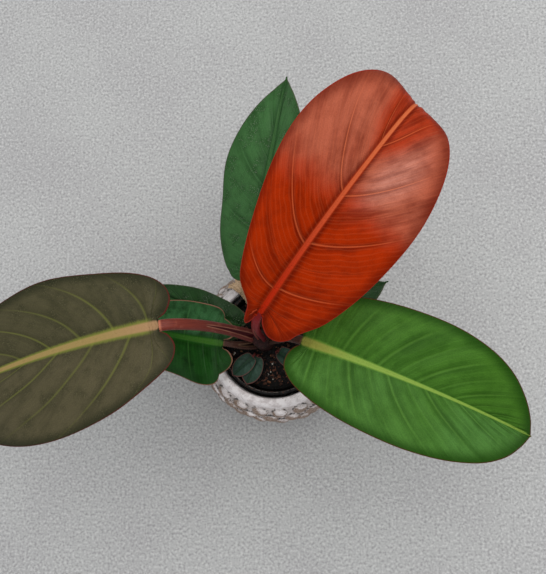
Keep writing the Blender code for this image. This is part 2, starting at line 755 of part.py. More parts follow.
def petiole_section(leaf, share):
    """Offsets across and above a petiole: an open sheath low down, a flat-topped stalk above."""
    sheath = 1.0 - smooth_step(share / leaf.sheath)
    width = leaf.petiole_radius * (1.0 + leaf.sheath_widening * sheath)
    height = leaf.petiole_radius * (PETIOLE_FLATNESS + SHEATH_DEEPENING * sheath)
    offsets = []
    for index in range(leaf.sides):
        angle = math.tau * index / leaf.sides
        across = width * math.cos(angle)
        above = height * math.sin(angle)
        facing = max(math.sin(angle), 0.0)
        groove = facing * math.exp(-((across / (GROOVE_WIDTH * width)) ** 2))
        groove *= GROOVE_DEPTH + SHEATH_GROOVE_DEPTH * sheath
        offsets.append((across, above - groove * height))
    return offsets


def loft(name, rings, collection, material):
    """Closed body through rings of equal count, with a face at each end."""
    bm = bmesh.new()
    loops = [[bm.verts.new(point) for point in ring] for ring in rings]
    count = len(loops[0])
    for lower, upper in zip(loops, loops[1:]):
        for index in range(count):
            following = (index + 1) % count
            bm.faces.new((lower[index], lower[following], upper[following], upper[index]))
    bm.faces.new(list(reversed(loops[0])))
    bm.faces.new(loops[-1])
    bmesh.ops.triangulate(bm, faces=bm.faces)
    bmesh.ops.recalc_face_normals(bm, faces=bm.faces)
    return new_object(name, mesh_from_bmesh(name, bm), collection, material)


def build_petiole(leaf, collection, material):
    points, end_forward, end_up = petiole_path(leaf, leaf.rings)
    heading = math.radians(leaf.root_heading)
    side_on = Vector((-math.sin(heading), math.cos(heading), 0.0))
    end_side = end_up.cross(end_forward)
    rings = []
    last = len(points) - 1
    for index, point in enumerate(points):
        share = index / last
        ahead = points[min(index + 1, last)] - points[max(index - 1, 0)]
        forward = ahead.normalized() if index < last else end_forward
        side = side_on.lerp(end_side, smooth_step(share))
        side = (side - forward * side.dot(forward)).normalized()
        up = forward.cross(side)
        section = petiole_section(leaf, share)
        rings.append([point + side * across + up * above for across, above in section])
    return loft(leaf.name + "_petiole", rings, collection, material)


def build_leaf(leaf, collection):
    """A blade and its petiole."""
    green = new_material(leaf.name + "_blade", leaf.colour, 0.35)
    red = new_material(leaf.name + "_petiole", leaf.petiole_colour, 0.45)
    build_blade(leaf, collection, green)
    return build_petiole(leaf, collection, red)


def build_dry_sheath(collection, material):
    """A curled dry strip lying over the nursery pot's lip and the ceramic rim."""
    heading = math.radians(DRY_HEADING)
    outward = Vector((math.cos(heading), math.sin(heading), 0.0))
    side = Vector((-math.sin(heading), math.cos(heading), 0.0))
    line = [outward * radius + Vector((0.0, 0.0, height)) for radius, height in DRY_LINE]
    rings = []
    for index, point in enumerate(line):
        forward = (line[min(index + 1, len(line) - 1)] - line[max(index - 1, 0)]).normalized()
        up = forward.cross(side)
        half = DRY_WIDTH / 2 * (1.0 - DRY_TAPER * index / (len(line) - 1))
        lower = [point + side * half * x + up * DRY_CURL * x * x for x in (-1.0, 0.0, 1.0)]
        upper = [corner + up * DRY_THICKNESS for corner in reversed(lower)]
        rings.append(lower + upper)
    return loft("dry_sheath", rings, collection, material)


def build():
    clear_scene()
    model = new_collection("potted_philodendron")
    cutters = new_collection("cutters")
    build_outer_pot(model, new_material("ceramic", (0.46, 0.41, 0.39), 0.55))
    build_nursery_pot(model, cutters, new_material("black_plastic", (0.015, 0.015, 0.016), 0.4))
    holes = [("stem_hole", STEM_X, STEM_Y, STEM_RADIUS + 2 * GAP, STEM_DEPTH + 2 * GAP)]
    for leaf in JUVENILES:
        radius = leaf.petiole_radius * HOLE_SHARE
        holes.append((leaf.name + "_hole", *leaf.root[:2], radius, JUVENILE_DEPTH + 2 * GAP))
    build_soil(model, cutters, new_material("soil", (0.02, 0.012, 0.008), 0.95), holes)
    _, clearance = build_stem(model, cutters, new_material("stem", (0.05, 0.03, 0.02), 0.7))
    for leaf in LEAVES:
        cut(build_leaf(leaf, model), clearance)
    for leaf in JUVENILES:
        build_leaf(leaf, model)
    build_dry_sheath(model, new_material("dry_sheath", (0.25, 0.19, 0.14), 0.85))


build()
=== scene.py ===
"""Potted philodendron, dressed: blades, petioles, stem, soil and both pots.

Metres, +Z up. The origin is the centre of the ceramic pot's flat base. Every value that the
CAD source gives a form is repeated here, so each piece lies where its node lies.
"""

import logging
import math
from dataclasses import dataclass, replace
from enum import Enum
from typing import Any, Sequence

import bmesh
import bpy
import numpy as np
from mathutils import Matrix, Vector


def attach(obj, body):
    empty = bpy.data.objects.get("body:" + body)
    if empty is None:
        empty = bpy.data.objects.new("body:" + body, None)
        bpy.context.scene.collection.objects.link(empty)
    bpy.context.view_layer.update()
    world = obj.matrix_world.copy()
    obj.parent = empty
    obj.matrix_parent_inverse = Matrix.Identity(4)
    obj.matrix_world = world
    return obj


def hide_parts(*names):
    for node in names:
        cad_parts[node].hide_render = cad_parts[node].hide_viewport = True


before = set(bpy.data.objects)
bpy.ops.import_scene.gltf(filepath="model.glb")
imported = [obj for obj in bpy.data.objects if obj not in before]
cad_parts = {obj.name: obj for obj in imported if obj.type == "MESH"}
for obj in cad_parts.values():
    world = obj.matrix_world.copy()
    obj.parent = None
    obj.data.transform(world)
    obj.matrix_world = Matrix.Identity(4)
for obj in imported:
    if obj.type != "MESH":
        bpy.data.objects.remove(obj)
LOG = logging.getLogger("philodendron")

Array = np.ndarray
Material = bpy.types.Material
Mesh = bmesh.types.BMesh
Piece = bpy.types.Object
Colour = tuple[float, float, float]
Pair = tuple[float, float]
Place = tuple[float, float, float]
Spots = list[tuple[int, int]]

TAU = math.tau
QUARTER_TURN = 0.25 * TAU
MILLIMETRE = 0.001
WELD = 0.000002
NEARLY = 0.0001
ORIGIN = (0.0, 0.0, 0.0)
BODY = "root"
NOISE_MEAN = 0.5

# Half outline of a blade, from the petiole to the tip: share of the length, share of the half width
BLADE_OUTLINE = (
    (-0.040, 0.15), (-0.066, 0.32), (-0.040, 0.52), (0.045, 0.72), (0.170, 0.89), (0.320, 0.98),
    (0.480, 1.00), (0.630, 0.93), (0.765, 0.78), (0.870, 0.55), (0.945, 0.28), (0.980, 0.11),
    (1.000, 0.00),
)

# How unevenly the primary veins are spaced along a blade, and how the two halves differ
VEIN_SWAY = 11.0
VEIN_UNEVEN = 0.10
VEIN_SIDE_SHIFT = 2.4


def tint(red: float, green: float, blue: float) -> Colour:
    """Linear colour of a display colour, by the usual display curve.

    Args:
        red: red from 0 to 255, as are green and blue.
        green: green.
        blue: blue.

    Returns:
        The linear colour from 0 to 1.
    """
    shares = (red / 255.0, green / 255.0, blue / 255.0)
    return tuple(s / 12.92 if s <= 0.04045 else ((s + 0.055) / 1.055) ** 2.4 for s in shares)


def smooth_step(x: Any, low: float = 0.0, high: float = 1.0) -> Any:
    """A smooth rise from 0 to 1.

    Args:
        x: number or array.
        low: where it leaves 0.
        high: where it reaches 1.

    Returns:
        The rise at each place.
    """
    x = np.clip((x - low) / (high - low), 0.0, 1.0)
    return x * x * (3.0 - 2.0 * x)


SWELLS = 7


def swells(x: Array, y: Array, seed: int, shortest: float, longest: float) -> Array:
    """Low uneven waves over a surface, the same in each run.

    Args:
        x: places along one way, in metres.
        y: places along the other way, in metres.
        seed: which waves are drawn.
        shortest: shortest wave in metres.
        longest: longest wave in metres.

    Returns:
        Heights of about -1 to 1.
    """
    draw = np.random.default_rng(seed)
    total = np.zeros_like(x)
    for _ in range(SWELLS):
        heading, phase = draw.uniform(0.0, TAU, 2)
        pitch = draw.uniform(shortest, longest)
        total += np.sin(TAU * (x * math.cos(heading) + y * math.sin(heading)) / pitch + phase)
    return total / math.sqrt(2.0 * SWELLS)


# Shader expressions


class Value:
    """One output of a node; arithmetic on it adds Math nodes."""

    def __init__(self, graph: "Graph", socket: bpy.types.NodeSocket) -> None:
        """Keep an output.

        Args:
            graph: the graph that it is in.
            socket: the output.
        """
        self.graph = graph
        self.socket = socket

    def __add__(self, other: Any) -> "Value":
        """Sum."""
        return self.graph.math("ADD", self, other)

    __radd__ = __add__

    def __sub__(self, other: Any) -> "Value":
        """Difference."""
        return self.graph.math("SUBTRACT", self, other)

    def __rsub__(self, other: Any) -> "Value":
        """Difference from a number on the left."""
        return self.graph.math("SUBTRACT", other, self)

    def __mul__(self, other: Any) -> "Value":
        """Product."""
        return self.graph.math("MULTIPLY", self, other)

    __rmul__ = __mul__

    def __pow__(self, other: Any) -> "Value":
        """Power."""
        return self.graph.math("POWER", self, other)

    def __abs__(self) -> "Value":
        """Size without its sign."""
        return self.graph.math("ABSOLUTE", self)

    def swing(self, amount: Any) -> "Value":
        """Swing of a noise about its mean, scaled to an amount."""
        return (self - NOISE_MEAN) * amount


class Graph:
    """The node graph of one material."""

    def __init__(self, name: str) -> None:
        """Start a material with its Principled shader.

        Args:
            name: its name.
        """
        self.material = bpy.data.materials.new(name)
        self.material.use_nodes = True
        self.tree = self.material.node_tree
        self.shader = self.tree.nodes["Principled BSDF"]

    def put(self, socket: bpy.types.NodeSocket, value: Any) -> None:
        """Link a value to a socket, or set a number or colour on it.

        Args:
            socket: the input.
            value: a Value, a number, or a colour or vector of three.
        """
        if isinstance(value, Value):
            self.tree.links.new(value.socket, socket)
        elif socket.type == "RGBA":
            socket.default_value = (*value, 1.0)
        else:
            socket.default_value = value

    def node(
        self, kind: str, settings: dict[str, Any] | None = None,
        inputs: dict[int | str, Any] | None = None, output: int | str = 0,
    ) -> Value:
        """Add a node.

        Args:
            kind: the node's type.
            settings: its properties, set first.
            inputs: values or links of its inputs, by index or name.
            output: the output that is wanted.

        Returns:
            That output.
        """
        node = self.tree.nodes.new(kind)
        for name, setting in (settings or {}).items():
            setattr(node, name, setting)
        for key, value in (inputs or {}).items():
            self.put(node.inputs[key], value)
        return Value(self, node.outputs[output])

    def math(self, operation: str, *values: Any) -> Value:
        """Math node of the given operation on values or numbers."""
        return self.node("ShaderNodeMath", {"operation": operation}, dict(enumerate(values)))

    def step(self, value: Any, low: float, high: float) -> Value:
        """Smooth mask over a value.

        Args:
            value: the value.
            low: where the mask is 0.
            high: where the mask is 1; below low it falls instead of rising.

        Returns:
            The mask.
        """
        start, end = (low, high) if low < high else (high, low)
        mask = self.node(
            "ShaderNodeMapRange", {"interpolation_type": "SMOOTHSTEP"}, {0: value, 1: start, 2: end}
        )
        return mask if low < high else 1.0 - mask

    def mix(self, first: Any, second: Any, factor: Any, blend: str = "MIX") -> Value:
        """Blend two colours.

        Args:
            first: colour where the factor is 0.
            second: colour where the factor is 1.
            factor: the mask.
            blend: how they blend.

        Returns:
            The colour.
        """
        settings = {"data_type": "RGBA", "blend_type": blend}
        return self.node("ShaderNodeMix", settings, {0: factor, 6: first, 7: second}, 2)

    def vector(self, x: Any, y: Any, z: Any = 0.0) -> Value:
        """Vector of three values."""
        return self.node("ShaderNodeCombineXYZ", None, {0: x, 1: y, 2: z})

    def part(self, vector: Value, axis: int) -> Value:
        """One part of a vector."""
        return self.node("ShaderNodeSeparateXYZ", None, {0: vector}, axis)

    def stretch(self, vector: Value, scale: Place) -> Value:
        """Vector scaled along each axis."""
        return self.node("ShaderNodeVectorMath", {"operation": "MULTIPLY"}, {0: vector, 1: scale})

    def noise(self, place: Value, grain: "Grain") -> Value:
        """Noise over a place.

        Args:
            place: where it is read.
            grain: how coarse and how rough it is.

        Returns:
            Noise of about 0.2 to 0.8.
        """
        if grain.stretch:
            place = self.stretch(place, grain.stretch)
        inputs = {
            "Vector": place, "Scale": grain.scale, "Detail": grain.layers,
            "Roughness": grain.roughness,
        }
        return self.node("ShaderNodeTexNoise", None, inputs)

    def specks(self, place: Value, scale: float, size: float, feather: float) -> Value:
        """Scattered round specks.

        Args:
            place: where they are read.
            scale: how many there are.
            size: their radius as a share of their spacing.
            feather: how soft their edges are.

        Returns:
            Mask of the specks.
        """
        far = self.node("ShaderNodeTexVoronoi", None, {"Vector": place, "Scale": scale})
        return self.step(far, size + feather, size)

    def lay(
        self, colour: Any, paint: Any, pattern: Value, reach: Pair, strength: float = 1.0
    ) -> Value:
        """Lay a colour on where a pattern passes from one level to another.

        Args:
            colour: the colour below.
            paint: the colour laid on.
            pattern: the pattern.
            reach: the level where the paint starts and the level where it is full.
            strength: how much it covers there.

        Returns:
            The colour.
        """
        mask = self.step(pattern, *reach)
        return self.mix(colour, paint, mask if strength == 1.0 else mask * strength)

    def stain(self, colour: Any, stain: "Stain", pattern: Value) -> Value:
        """Lay a stain on where its pattern calls for it."""
        return self.lay(colour, stain.paint, pattern, stain.reach, stain.strength)

    def shaded(self, colour: Any, tone: Value, strength: float = 1.0) -> Value:
        """Colour made darker or lighter by a tone of about 1."""
        return self.mix(colour, self.vector(tone, tone, tone), strength, "MULTIPLY")

    def uv(self, name: str) -> Value:
        """Named UV map."""
        return self.node("ShaderNodeUVMap", {"uv_map": name})

    def attribute(self, name: str) -> Value:
        """Named attribute of the mesh, as a number."""
        return self.node("ShaderNodeAttribute", {"attribute_name": name}, None, "Fac")

    def place(self) -> Value:
        """Object coordinates."""
        return self.node("ShaderNodeTexCoord", None, None, "Object")

    def bump(self, height: Value, depth: float) -> Value:
        """Normal of a raised pattern.

        Args:
            height: the pattern from 0 to 1.
            depth: its height in metres.

        Returns:
            The normal.
        """
        inputs = {"Strength": 1.0, "Distance": depth, "Height": height}
        return self.node("ShaderNodeBump", None, inputs)

    def finish(
        self, colour: Any, roughness: Any, normal: Value, **constants: float
    ) -> Material:
        """Join the results to the shader.

        Args:
            colour: base colour.
            roughness: roughness.
            normal: normal of the raised pattern.
            constants: other sockets, with underscores for spaces.

        Returns:
            The material.
        """
        sockets = {"Base Color": colour, "Roughness": roughness, "Normal": normal}
        sockets |= {name.replace("_", " "): value for name, value in constants.items()}
        for name, value in sockets.items():
            self.put(self.shader.inputs[name], value)
        return self.material


@dataclass(frozen=True)
class Grain:
    """A noise: its scale, how many finer layers it has, how strong they are, and its stretch."""

    scale: float
    layers: float = 3.0
    roughness: float = 0.5
    stretch: Place | None = None


@dataclass(frozen=True)
class Stain:
    """A colour that shows where a noise, or a named attribute, passes from a level to another."""

    pattern: Grain | str
    paint: Colour
    reach: Pair
    strength: float = 1.0


@dataclass(frozen=True)
class LayeredFinish:
    """A base colour under stains, each laid on where its own pattern calls for it.

    A pattern is a noise, or the name of a mesh attribute. Roughness and relief each follow the
    pattern of one of the stains, given by its index.
    """

    name: str
    base: Colour
    stains: tuple[Stain, ...]
    roughness: float = 0.8
    rough_change: float = 0.1
    rough_stain: int = 0
    relief: float = 0.0005
    relief_stain: int = 0
    uv: str = ""
    gloss: float = 0.5

    def build(self) -> Material:
        """Lay the stains on in order.

        Returns:
            The material.
        """
        g = Graph(self.name)
        place = g.uv(self.uv) if self.uv else g.place()
        made = {}
        colour = self.base
        for stain in self.stains:
            if stain.pattern not in made:
                made[stain.pattern] = self.pattern(g, place, stain.pattern)
            colour = g.stain(colour, stain, made[stain.pattern])
        rough = made[self.stains[self.rough_stain].pattern]
        normal = g.bump(made[self.stains[self.relief_stain].pattern], self.relief)
        rough = self.roughness + self.rough_change * rough
        return g.finish(colour, rough, normal, Specular_IOR_Level=self.gloss)

    def pattern(self, g: Graph, place: Value, pattern: Grain | str) -> Value:
        """A noise over the piece, or one of its attributes."""
        return g.attribute(pattern) if isinstance(pattern, str) else g.noise(place, pattern)


# Pieces


def finish_piece(
    bm: Mesh, name: str, materials: Sequence[Material],
    attributes: dict[str, Array] | None = None,
) -> Piece:
    """Make an object of a bmesh.

    Args:
        bm: the mesh, freed here.
        name: name of the piece.
        materials: its materials.
        attributes: numbers for each vertex, by name.

    Returns:
        The object, at the origin.
    """
    mesh = bpy.data.meshes.new(name)
    bm.to_mesh(mesh)
    bm.free()
    mesh.shade_smooth()
    for key, numbers in (attributes or {}).items():
        layer = mesh.attributes.new(key, "FLOAT", "POINT")
        layer.data.foreach_set("value", np.asarray(numbers, dtype=np.float32))
    for material in materials:
        mesh.materials.append(material)
    piece = bpy.data.objects.new(name, mesh)
    bpy.context.scene.collection.objects.link(piece)
    return piece


def register(piece: Piece, slot: str, *nodes: str) -> None:
    """Hand a piece to the frame.

    Args:
        piece: the piece.
        slot: the record's material slot that it is finished in.
        nodes: the CAD nodes that it stands for.
    """
    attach(piece, BODY)
    if nodes:
        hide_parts(*nodes)
    LOG.info("%s: %d faces, slot %s", piece.name, len(piece.data.polygons), slot)


def spun(profile: Sequence[Pair], steps: int) -> Mesh:
    """Closed body turned about Z.

    Args:
        profile: radius and height of each point, from the axis back to the axis.
        steps: faces round the body.

    Returns:
        The mesh, with its faces outwards.
    """
    bm = bmesh.new()
    chain = [bm.verts.new((radius, 0.0, height)) for radius, height in profile]
    edges = [bm.edges.new(pair) for pair in zip(chain, chain[1:])]
    bmesh.ops.spin(
        bm, geom=chain + edges, cent=ORIGIN, axis=(0.0, 0.0, 1.0), dvec=ORIGIN, angle=TAU,
        steps=steps, use_merge=True,
    )
    bmesh.ops.remove_doubles(bm, verts=bm.verts, dist=WELD)
    bmesh.ops.recalc_face_normals(bm, faces=bm.faces)
    return bm


def quarter(start: Pair, end: Pair, steps: int, upright: bool = False) -> list[Pair]:
    """A quarter of an ellipse in a profile.

    Args:
        start: radius and height that it leaves, level or upright.
        end: radius and height that it reaches, turned by a quarter.
        steps: how many points it has.
        upright: whether it leaves upright.

    Returns:
        Its points after the start.
    """
    points = []
    for index in range(1, steps + 1):
        turn = QUARTER_TURN * index / steps
        lead, lag = math.sin(turn), 1.0 - math.cos(turn)
        out, rise = (lag, lead) if upright else (lead, lag)
        points.append((start[0] + (end[0] - start[0]) * out, start[1] + (end[1] - start[1]) * rise))
    return points


def places(bm: Mesh) -> Array:
    """Places of a mesh's vertices, in order."""
    return np.array([vertex.co[:] for vertex in bm.verts])


def move_to(bm: Mesh, points: Array) -> None:
    """Move a mesh's vertices.

    Args:
        bm: the mesh.
        points: a place for each vertex, in order.
    """
    for vertex, point in zip(bm.verts, points):
        vertex.co = point


def sheet_grid(points: Array) -> tuple[Mesh, Spots]:
    """Grid laid over an array of points.

    Args:
        points: places by row and column.

    Returns:
        The mesh, and the row and column of each vertex.
    """
    rows, columns = points.shape[0] - 1, points.shape[1] - 1
    bm = bmesh.new()
    bmesh.ops.create_grid(bm, x_segments=columns, y_segments=rows, size=1.0)
    spots = []
    for vertex in bm.verts:
        column = round((vertex.co.x + 1.0) * 0.5 * columns)
        row = round((vertex.co.y + 1.0) * 0.5 * rows)
        vertex.co = points[row, column]
        spots.append((row, column))
    bm.verts.index_update()
    return bm, spots


def map_corners(bm: Mesh, spots: Spots, maps: dict[str, Sequence[Array]]) -> None:
    """Give every corner of a grid its UV maps.

    Args:
        bm: the grid, before its doubles are merged.
        spots: row and column of each vertex.
        maps: the two coordinates of each map, by row and column.
    """
    for name, (first, second) in maps.items():
        layer = bm.loops.layers.uv.new(name)
        for face in bm.faces:
            for loop in face.loops:
                spot = spots[loop.vert.index]
                loop[layer].uv = (first[spot], second[spot])


# Leaves


class VeinPlan(Enum):
    """How fine a blade's mesh is: rows, columns on each half, and how many of these the midrib has."""

    LARGE = (168, 46, 6)
    MEDIUM = (120, 34, 5)
    SMALL = (56, 20, 4)


@dataclass(frozen=True)
class BladeFinish:
    """Colours and texture of one blade.

    Counts are over the blade's length, and pairs named left or right are at the petiole and at
    the tip of that half.
    """

    name: str
    slot: str
    base: Colour
    shade: Colour
    flush: Colour
    vein: Colour
    rib: Colour
    rib_tip: Colour
    rib_edge: Colour
    margin: Colour
    under: Colour
    flush_and_sheen_left: Pair = (0.3, 0.3)
    flush_and_sheen_right: Pair = (0.3, 0.3)
    flush_and_sheen_from: Pair = (0.50, 0.74)
    length_mm: float = 250.0
    painted_sheen: Colour = (0.5, 0.5, 0.4)
    painted_sheen_strength: float = 0.0
    painted_sheen_place: Pair = (0.69, -0.52)
    vein_strength: float = 0.6
    vein_width: float = 0.06
    vein_count: float = 12.5
    vein_start: float = 0.0
    vein_stagger: float = 0.22
    vein_contrast: float = 0.45
    vein_bend: float = 0.0
    fine_strength: float = 0.1
    streak_strength: float = 0.35
    band_strength: float = 0.35
    edge_shade: float = 0.3
    tip_clear: float = 0.0
    tip_from: Pair = (0.84, 0.95)
    grain_strength: float = 0.55
    painted_vein_shade_strength: float = 0.5
    mottle_shade: float = 0.55
    valley_shade: float = 0.6
    speck: Colour = (0.5, 0.5, 0.4)
    speck_strength: float = 0.0
    roughness: float = 0.38
    gloss: float = 0.2
    relief: float = 0.0003
    rib_turn: float = 60.0
    rib_glow: float = 1.9
    rib_strength: float = 0.92
    rib_reach: float = 1.0
    seed: float = 1.0

    def build(self) -> tuple[Material, Material]:
        """Materials of the upper face and of the underside."""
        return UpperSide(self).build(), UnderSide(self).build()


class BladeSide:
    """One face of a blade: its maps and where its primary veins run."""

    def __init__(self, finish: BladeFinish, name: str) -> None:
        """Start the face's material and count its veins; whole numbers lie on a vein.

        Args:
            finish: the blade's colours and texture.
            name: name of the material.
        """
        self.finish = finish
        self.g = g = Graph(name)
        veins, self.ribs, self.flat = g.uv("veins"), g.uv("rib"), g.uv("flat")
        self.share, self.across = g.part(veins, 0), g.part(veins, 1)
        side = g.math("SIGN", self.across)
        sway = self.share * VEIN_SWAY + side * VEIN_SIDE_SHIFT + finish.seed
        row = self.share - self.across * self.across * finish.vein_bend
        even = row * finish.vein_count + side * finish.vein_stagger
        self.phase = even + g.math("SINE", sway) * VEIN_UNEVEN + finish.vein_start
        self.off_vein = g.math("PINGPONG", self.phase, 0.5)

    def drawn_out(self, pitch: Pair, grain: Grain, shift: float = 0.0) -> Value:
        """Noise drawn out along the veins.

        Args:
            pitch: how fine it is along the blade and across it.
            grain: the noise.
            shift: how far it is moved on from the blade's own seed.

        Returns:
            The noise.
        """
        along, across = self.share * pitch[0], self.across * pitch[1]
        return self.g.noise(self.g.vector(along, across, self.finish.seed + shift), grain)


class UpperSide(BladeSide):
    """Upper face: a mottled skin with flushing and painted sheen, painted shade in its creases, its
    veins, its midrib and its margin.
    """

    # Noises
    BROAD = Grain(18.0, 3.0, 0.55)
    MOTTLE = Grain(60.0, 5.0, 0.62)
    PORES = Grain(900.0, 3.0, 0.6)
    STREAKS = Grain(1.0, 4.0, 0.65)
    BANDS = Grain(1.0, 4.0, 0.6)
    FIBRES = Grain(1.0, 4.0, 0.6)
    SWIRL = Grain(40.0, 2.0)
    PATCHES = Grain(60.0)

    # How fine the drawn-out noises are along the blade and across it
    STREAK_PITCH = (300.0, 4.0)
    BAND_PITCH = (24.0, 1.3)
    BAND_SHIFT = 7.0
    FIBRE_PITCH = (0.5, 2600.0)

    # Veins: where they fade towards the margin and in the fan at the petiole, how wide they are, and
    # how far the painted shade beside them reaches
    MARGIN_FADE = (1.0, 0.5)
    FAN_FADE = (0.10, 0.34)
    LINE_CORE = 0.05
    LINE_EDGE = 1.5
    LINE_NARROWING = 0.5
    PAINTED_VEIN_SHADE_REACH = 5.0
    FINE_COUNT = 5.0
    FINE_SWIRL = 1.2
    FINE_LINE = (0.22, 0.02)

    # Skin: how far noises move the edge of the flush and painted sheen, where the painted sheen patch
    # lies, and where each shade starts and is full
    HALF_CHANGE = (-0.05, 0.05)
    FLUSH_AND_SHEEN_SWINGS = (0.14, 0.08)
    TIP_SWINGS = (0.08, 0.05)
    SHEEN_PATCH_ACROSS = (0.42, 0.06)
    SHEEN_PATCH_ALONG = (0.09, 0.01)
    MOTTLE_REACH = (0.42, 0.70)
    BAND_REACH = (0.46, 0.68)
    VALLEY_REACH = (3.7, 1.1)
    EDGE_SHADE_MM = (14.0, 1.0)
    DUST_SCALE = 700.0
    DUST_SIZE = 0.20
    DUST_FEATHER = 0.12
    DUST_PATCHES = (0.48, 0.62)

    # Midrib and margin
    RIB_START_MM = 8.0
    RIB_END_CURVE = 2.5
    RIB_END_MM = (-1.5, 1.0)
    RIB_EDGE = 0.95
    RIB_EDGE_MM = (2.0, 14.0)
    RIB_REACH = (1.15, 0.60)
    FIBRE_STRENGTH = 0.8
    MARGIN_MM = (1.15, 0.30)
    MARGIN_STRENGTH = 0.9

    def __init__(self, finish: BladeFinish) -> None:
        """Lay out the patterns that the face's colours follow.

        Args:
            finish: the blade's colours and texture.
        """
        super().__init__(finish, finish.name)
        g = self.g
        self.along_mm = g.part(self.flat, 0) * (1.0 / MILLIMETRE)
        self.rib_place = abs(g.part(self.ribs, 0)) * (1.0 / finish.rib_reach)
        self.edge_mm = g.part(self.ribs, 1)
        reach = abs(self.across)
        self.fade = g.step(reach, *self.MARGIN_FADE)
        self.past_fan = g.step(self.share, *self.FAN_FADE)
        self.broad = g.noise(self.flat, self.BROAD)
        self.mottle = g.noise(self.flat, self.MOTTLE)
        self.streaks = 0.5 + self.drawn_out(self.STREAK_PITCH, self.STREAKS).swing(self.past_fan)
        wave = g.math("COSINE", self.phase * math.pi)
        self.strong = (1.0 - finish.vein_contrast) + finish.vein_contrast * wave
        narrow = finish.vein_width * (1.0 - self.LINE_NARROWING * reach)
        self.line = 1.0 - g.node(
            "ShaderNodeMapRange", {"interpolation_type": "SMOOTHSTEP"},
            {0: self.off_vein, 1: narrow * self.LINE_CORE, 2: narrow * self.LINE_EDGE},
        )
        swirl = g.noise(self.flat, self.SWIRL) * self.FINE_SWIRL
        fine_phase = self.phase * self.FINE_COUNT + swirl
        self.fine = g.step(g.math("PINGPONG", fine_phase, 0.5), *self.FINE_LINE)

    def moved(self, place: Value, swings: Pair) -> Value:
        """A place moved by the broad noise and by the streaks, each by its swing."""
        return place + self.broad.swing(swings[0]) + self.streaks.swing(swings[1])

    def with_flush_and_sheen(self) -> Value:
        """Base colour with each half's flushing, partly its own colour and partly painted sheen, which
        changes towards the tip, and a painted sheen patch where one is set.

        Returns:
            The colour.
        """
        g, finish = self.g, self.finish
        is_left = g.step(self.across, *self.HALF_CHANGE)
        ahead = self.moved(self.along_mm * (1.0 / finish.length_mm), self.FLUSH_AND_SHEEN_SWINGS)
        at_tip = g.step(self.moved(self.share, self.TIP_SWINGS), *finish.tip_from)
        toward_tip = g.step(ahead, *finish.flush_and_sheen_from) * (1.0 - finish.tip_clear * at_tip)
        left, right = (
            near + toward_tip * (far - near) for near, far in (finish.flush_and_sheen_left, finish.flush_and_sheen_right)
        )
        # Flush of each half: partly the blade's own colour, partly painted sheen
        flush = (is_left * left + (1.0 - is_left) * right) * (0.55 + 0.9 * self.broad)
        colour = g.mix(finish.base, finish.flush, flush)
        # A painted sheen patch on one half, standing for a reflection of the light
        if finish.painted_sheen_strength > 0.0:
            along, across = finish.painted_sheen_place
            beside = g.step(abs(self.across - across), *self.SHEEN_PATCH_ACROSS)
            painted_sheen = g.step(abs(self.share - along), *self.SHEEN_PATCH_ALONG) * beside
            painted_sheen = painted_sheen * (0.4 + 1.2 * self.streaks)
            colour = g.mix(colour, finish.painted_sheen, painted_sheen * finish.painted_sheen_strength)
        return colour

    def shade(self, colour: Value) -> Value:
        """Darken the skin: its mottling and bands, painted shade in the creases beside the veins and
        in the valley beside the midrib, and a darker margin.

        Args:
            colour: the colour with its flushing and painted sheen.

        Returns:
            The colour.
        """
        g, finish = self.g, self.finish
        bands = self.drawn_out(self.BAND_PITCH, self.BANDS, self.BAND_SHIFT)
        colour = g.lay(colour, finish.shade, self.mottle, self.MOTTLE_REACH, finish.mottle_shade)
        colour = g.lay(colour, finish.shade, bands, self.BAND_REACH, finish.band_strength)
        # Painted shade in the creases beside the primary veins
        painted_vein_shade = g.step(self.off_vein, finish.vein_width * self.PAINTED_VEIN_SHADE_REACH, finish.vein_width)
        painted_vein_shade = painted_vein_shade * (1.0 - self.line) * self.strong * self.fade * self.past_fan
        colour = g.mix(colour, finish.shade, painted_vein_shade * finish.painted_vein_shade_strength)
        # Painted shade in the valley beside the midrib
        valley = g.step(self.rib_place, *self.VALLEY_REACH) * (0.5 + self.broad)
        colour = g.mix(colour, finish.shade, valley * finish.valley_shade)
        colour = g.lay(colour, finish.shade, self.edge_mm, self.EDGE_SHADE_MM, finish.edge_shade)
        pores = g.noise(self.flat, self.PORES).swing(finish.grain_strength)
        return g.shaded(colour, 1.0 + self.streaks.swing(finish.streak_strength) + pores)

    def veined(self, colour: Value) -> Value:
        """Lay on the fine and the primary veins, and dust where there is any.

        Args:
            colour: the skin's colour.

        Returns:
            The colour.
        """
        g, finish = self.g, self.finish
        primary = self.line * self.strong * (0.15 + 0.85 * self.fade) * (0.4 + 0.6 * self.past_fan)
        fine = self.fine * finish.fine_strength * (0.5 + 0.5 * self.fade)
        colour = g.mix(colour, finish.vein, fine)
        colour = g.mix(colour, finish.vein, primary * finish.vein_strength)
        if finish.speck_strength > 0.0:
            dust = g.specks(self.flat, self.DUST_SCALE, self.DUST_SIZE, self.DUST_FEATHER)
            dust = dust * g.step(g.noise(self.flat, self.PATCHES), *self.DUST_PATCHES)
            colour = g.mix(colour, finish.speck, dust * finish.speck_strength)
        return colour

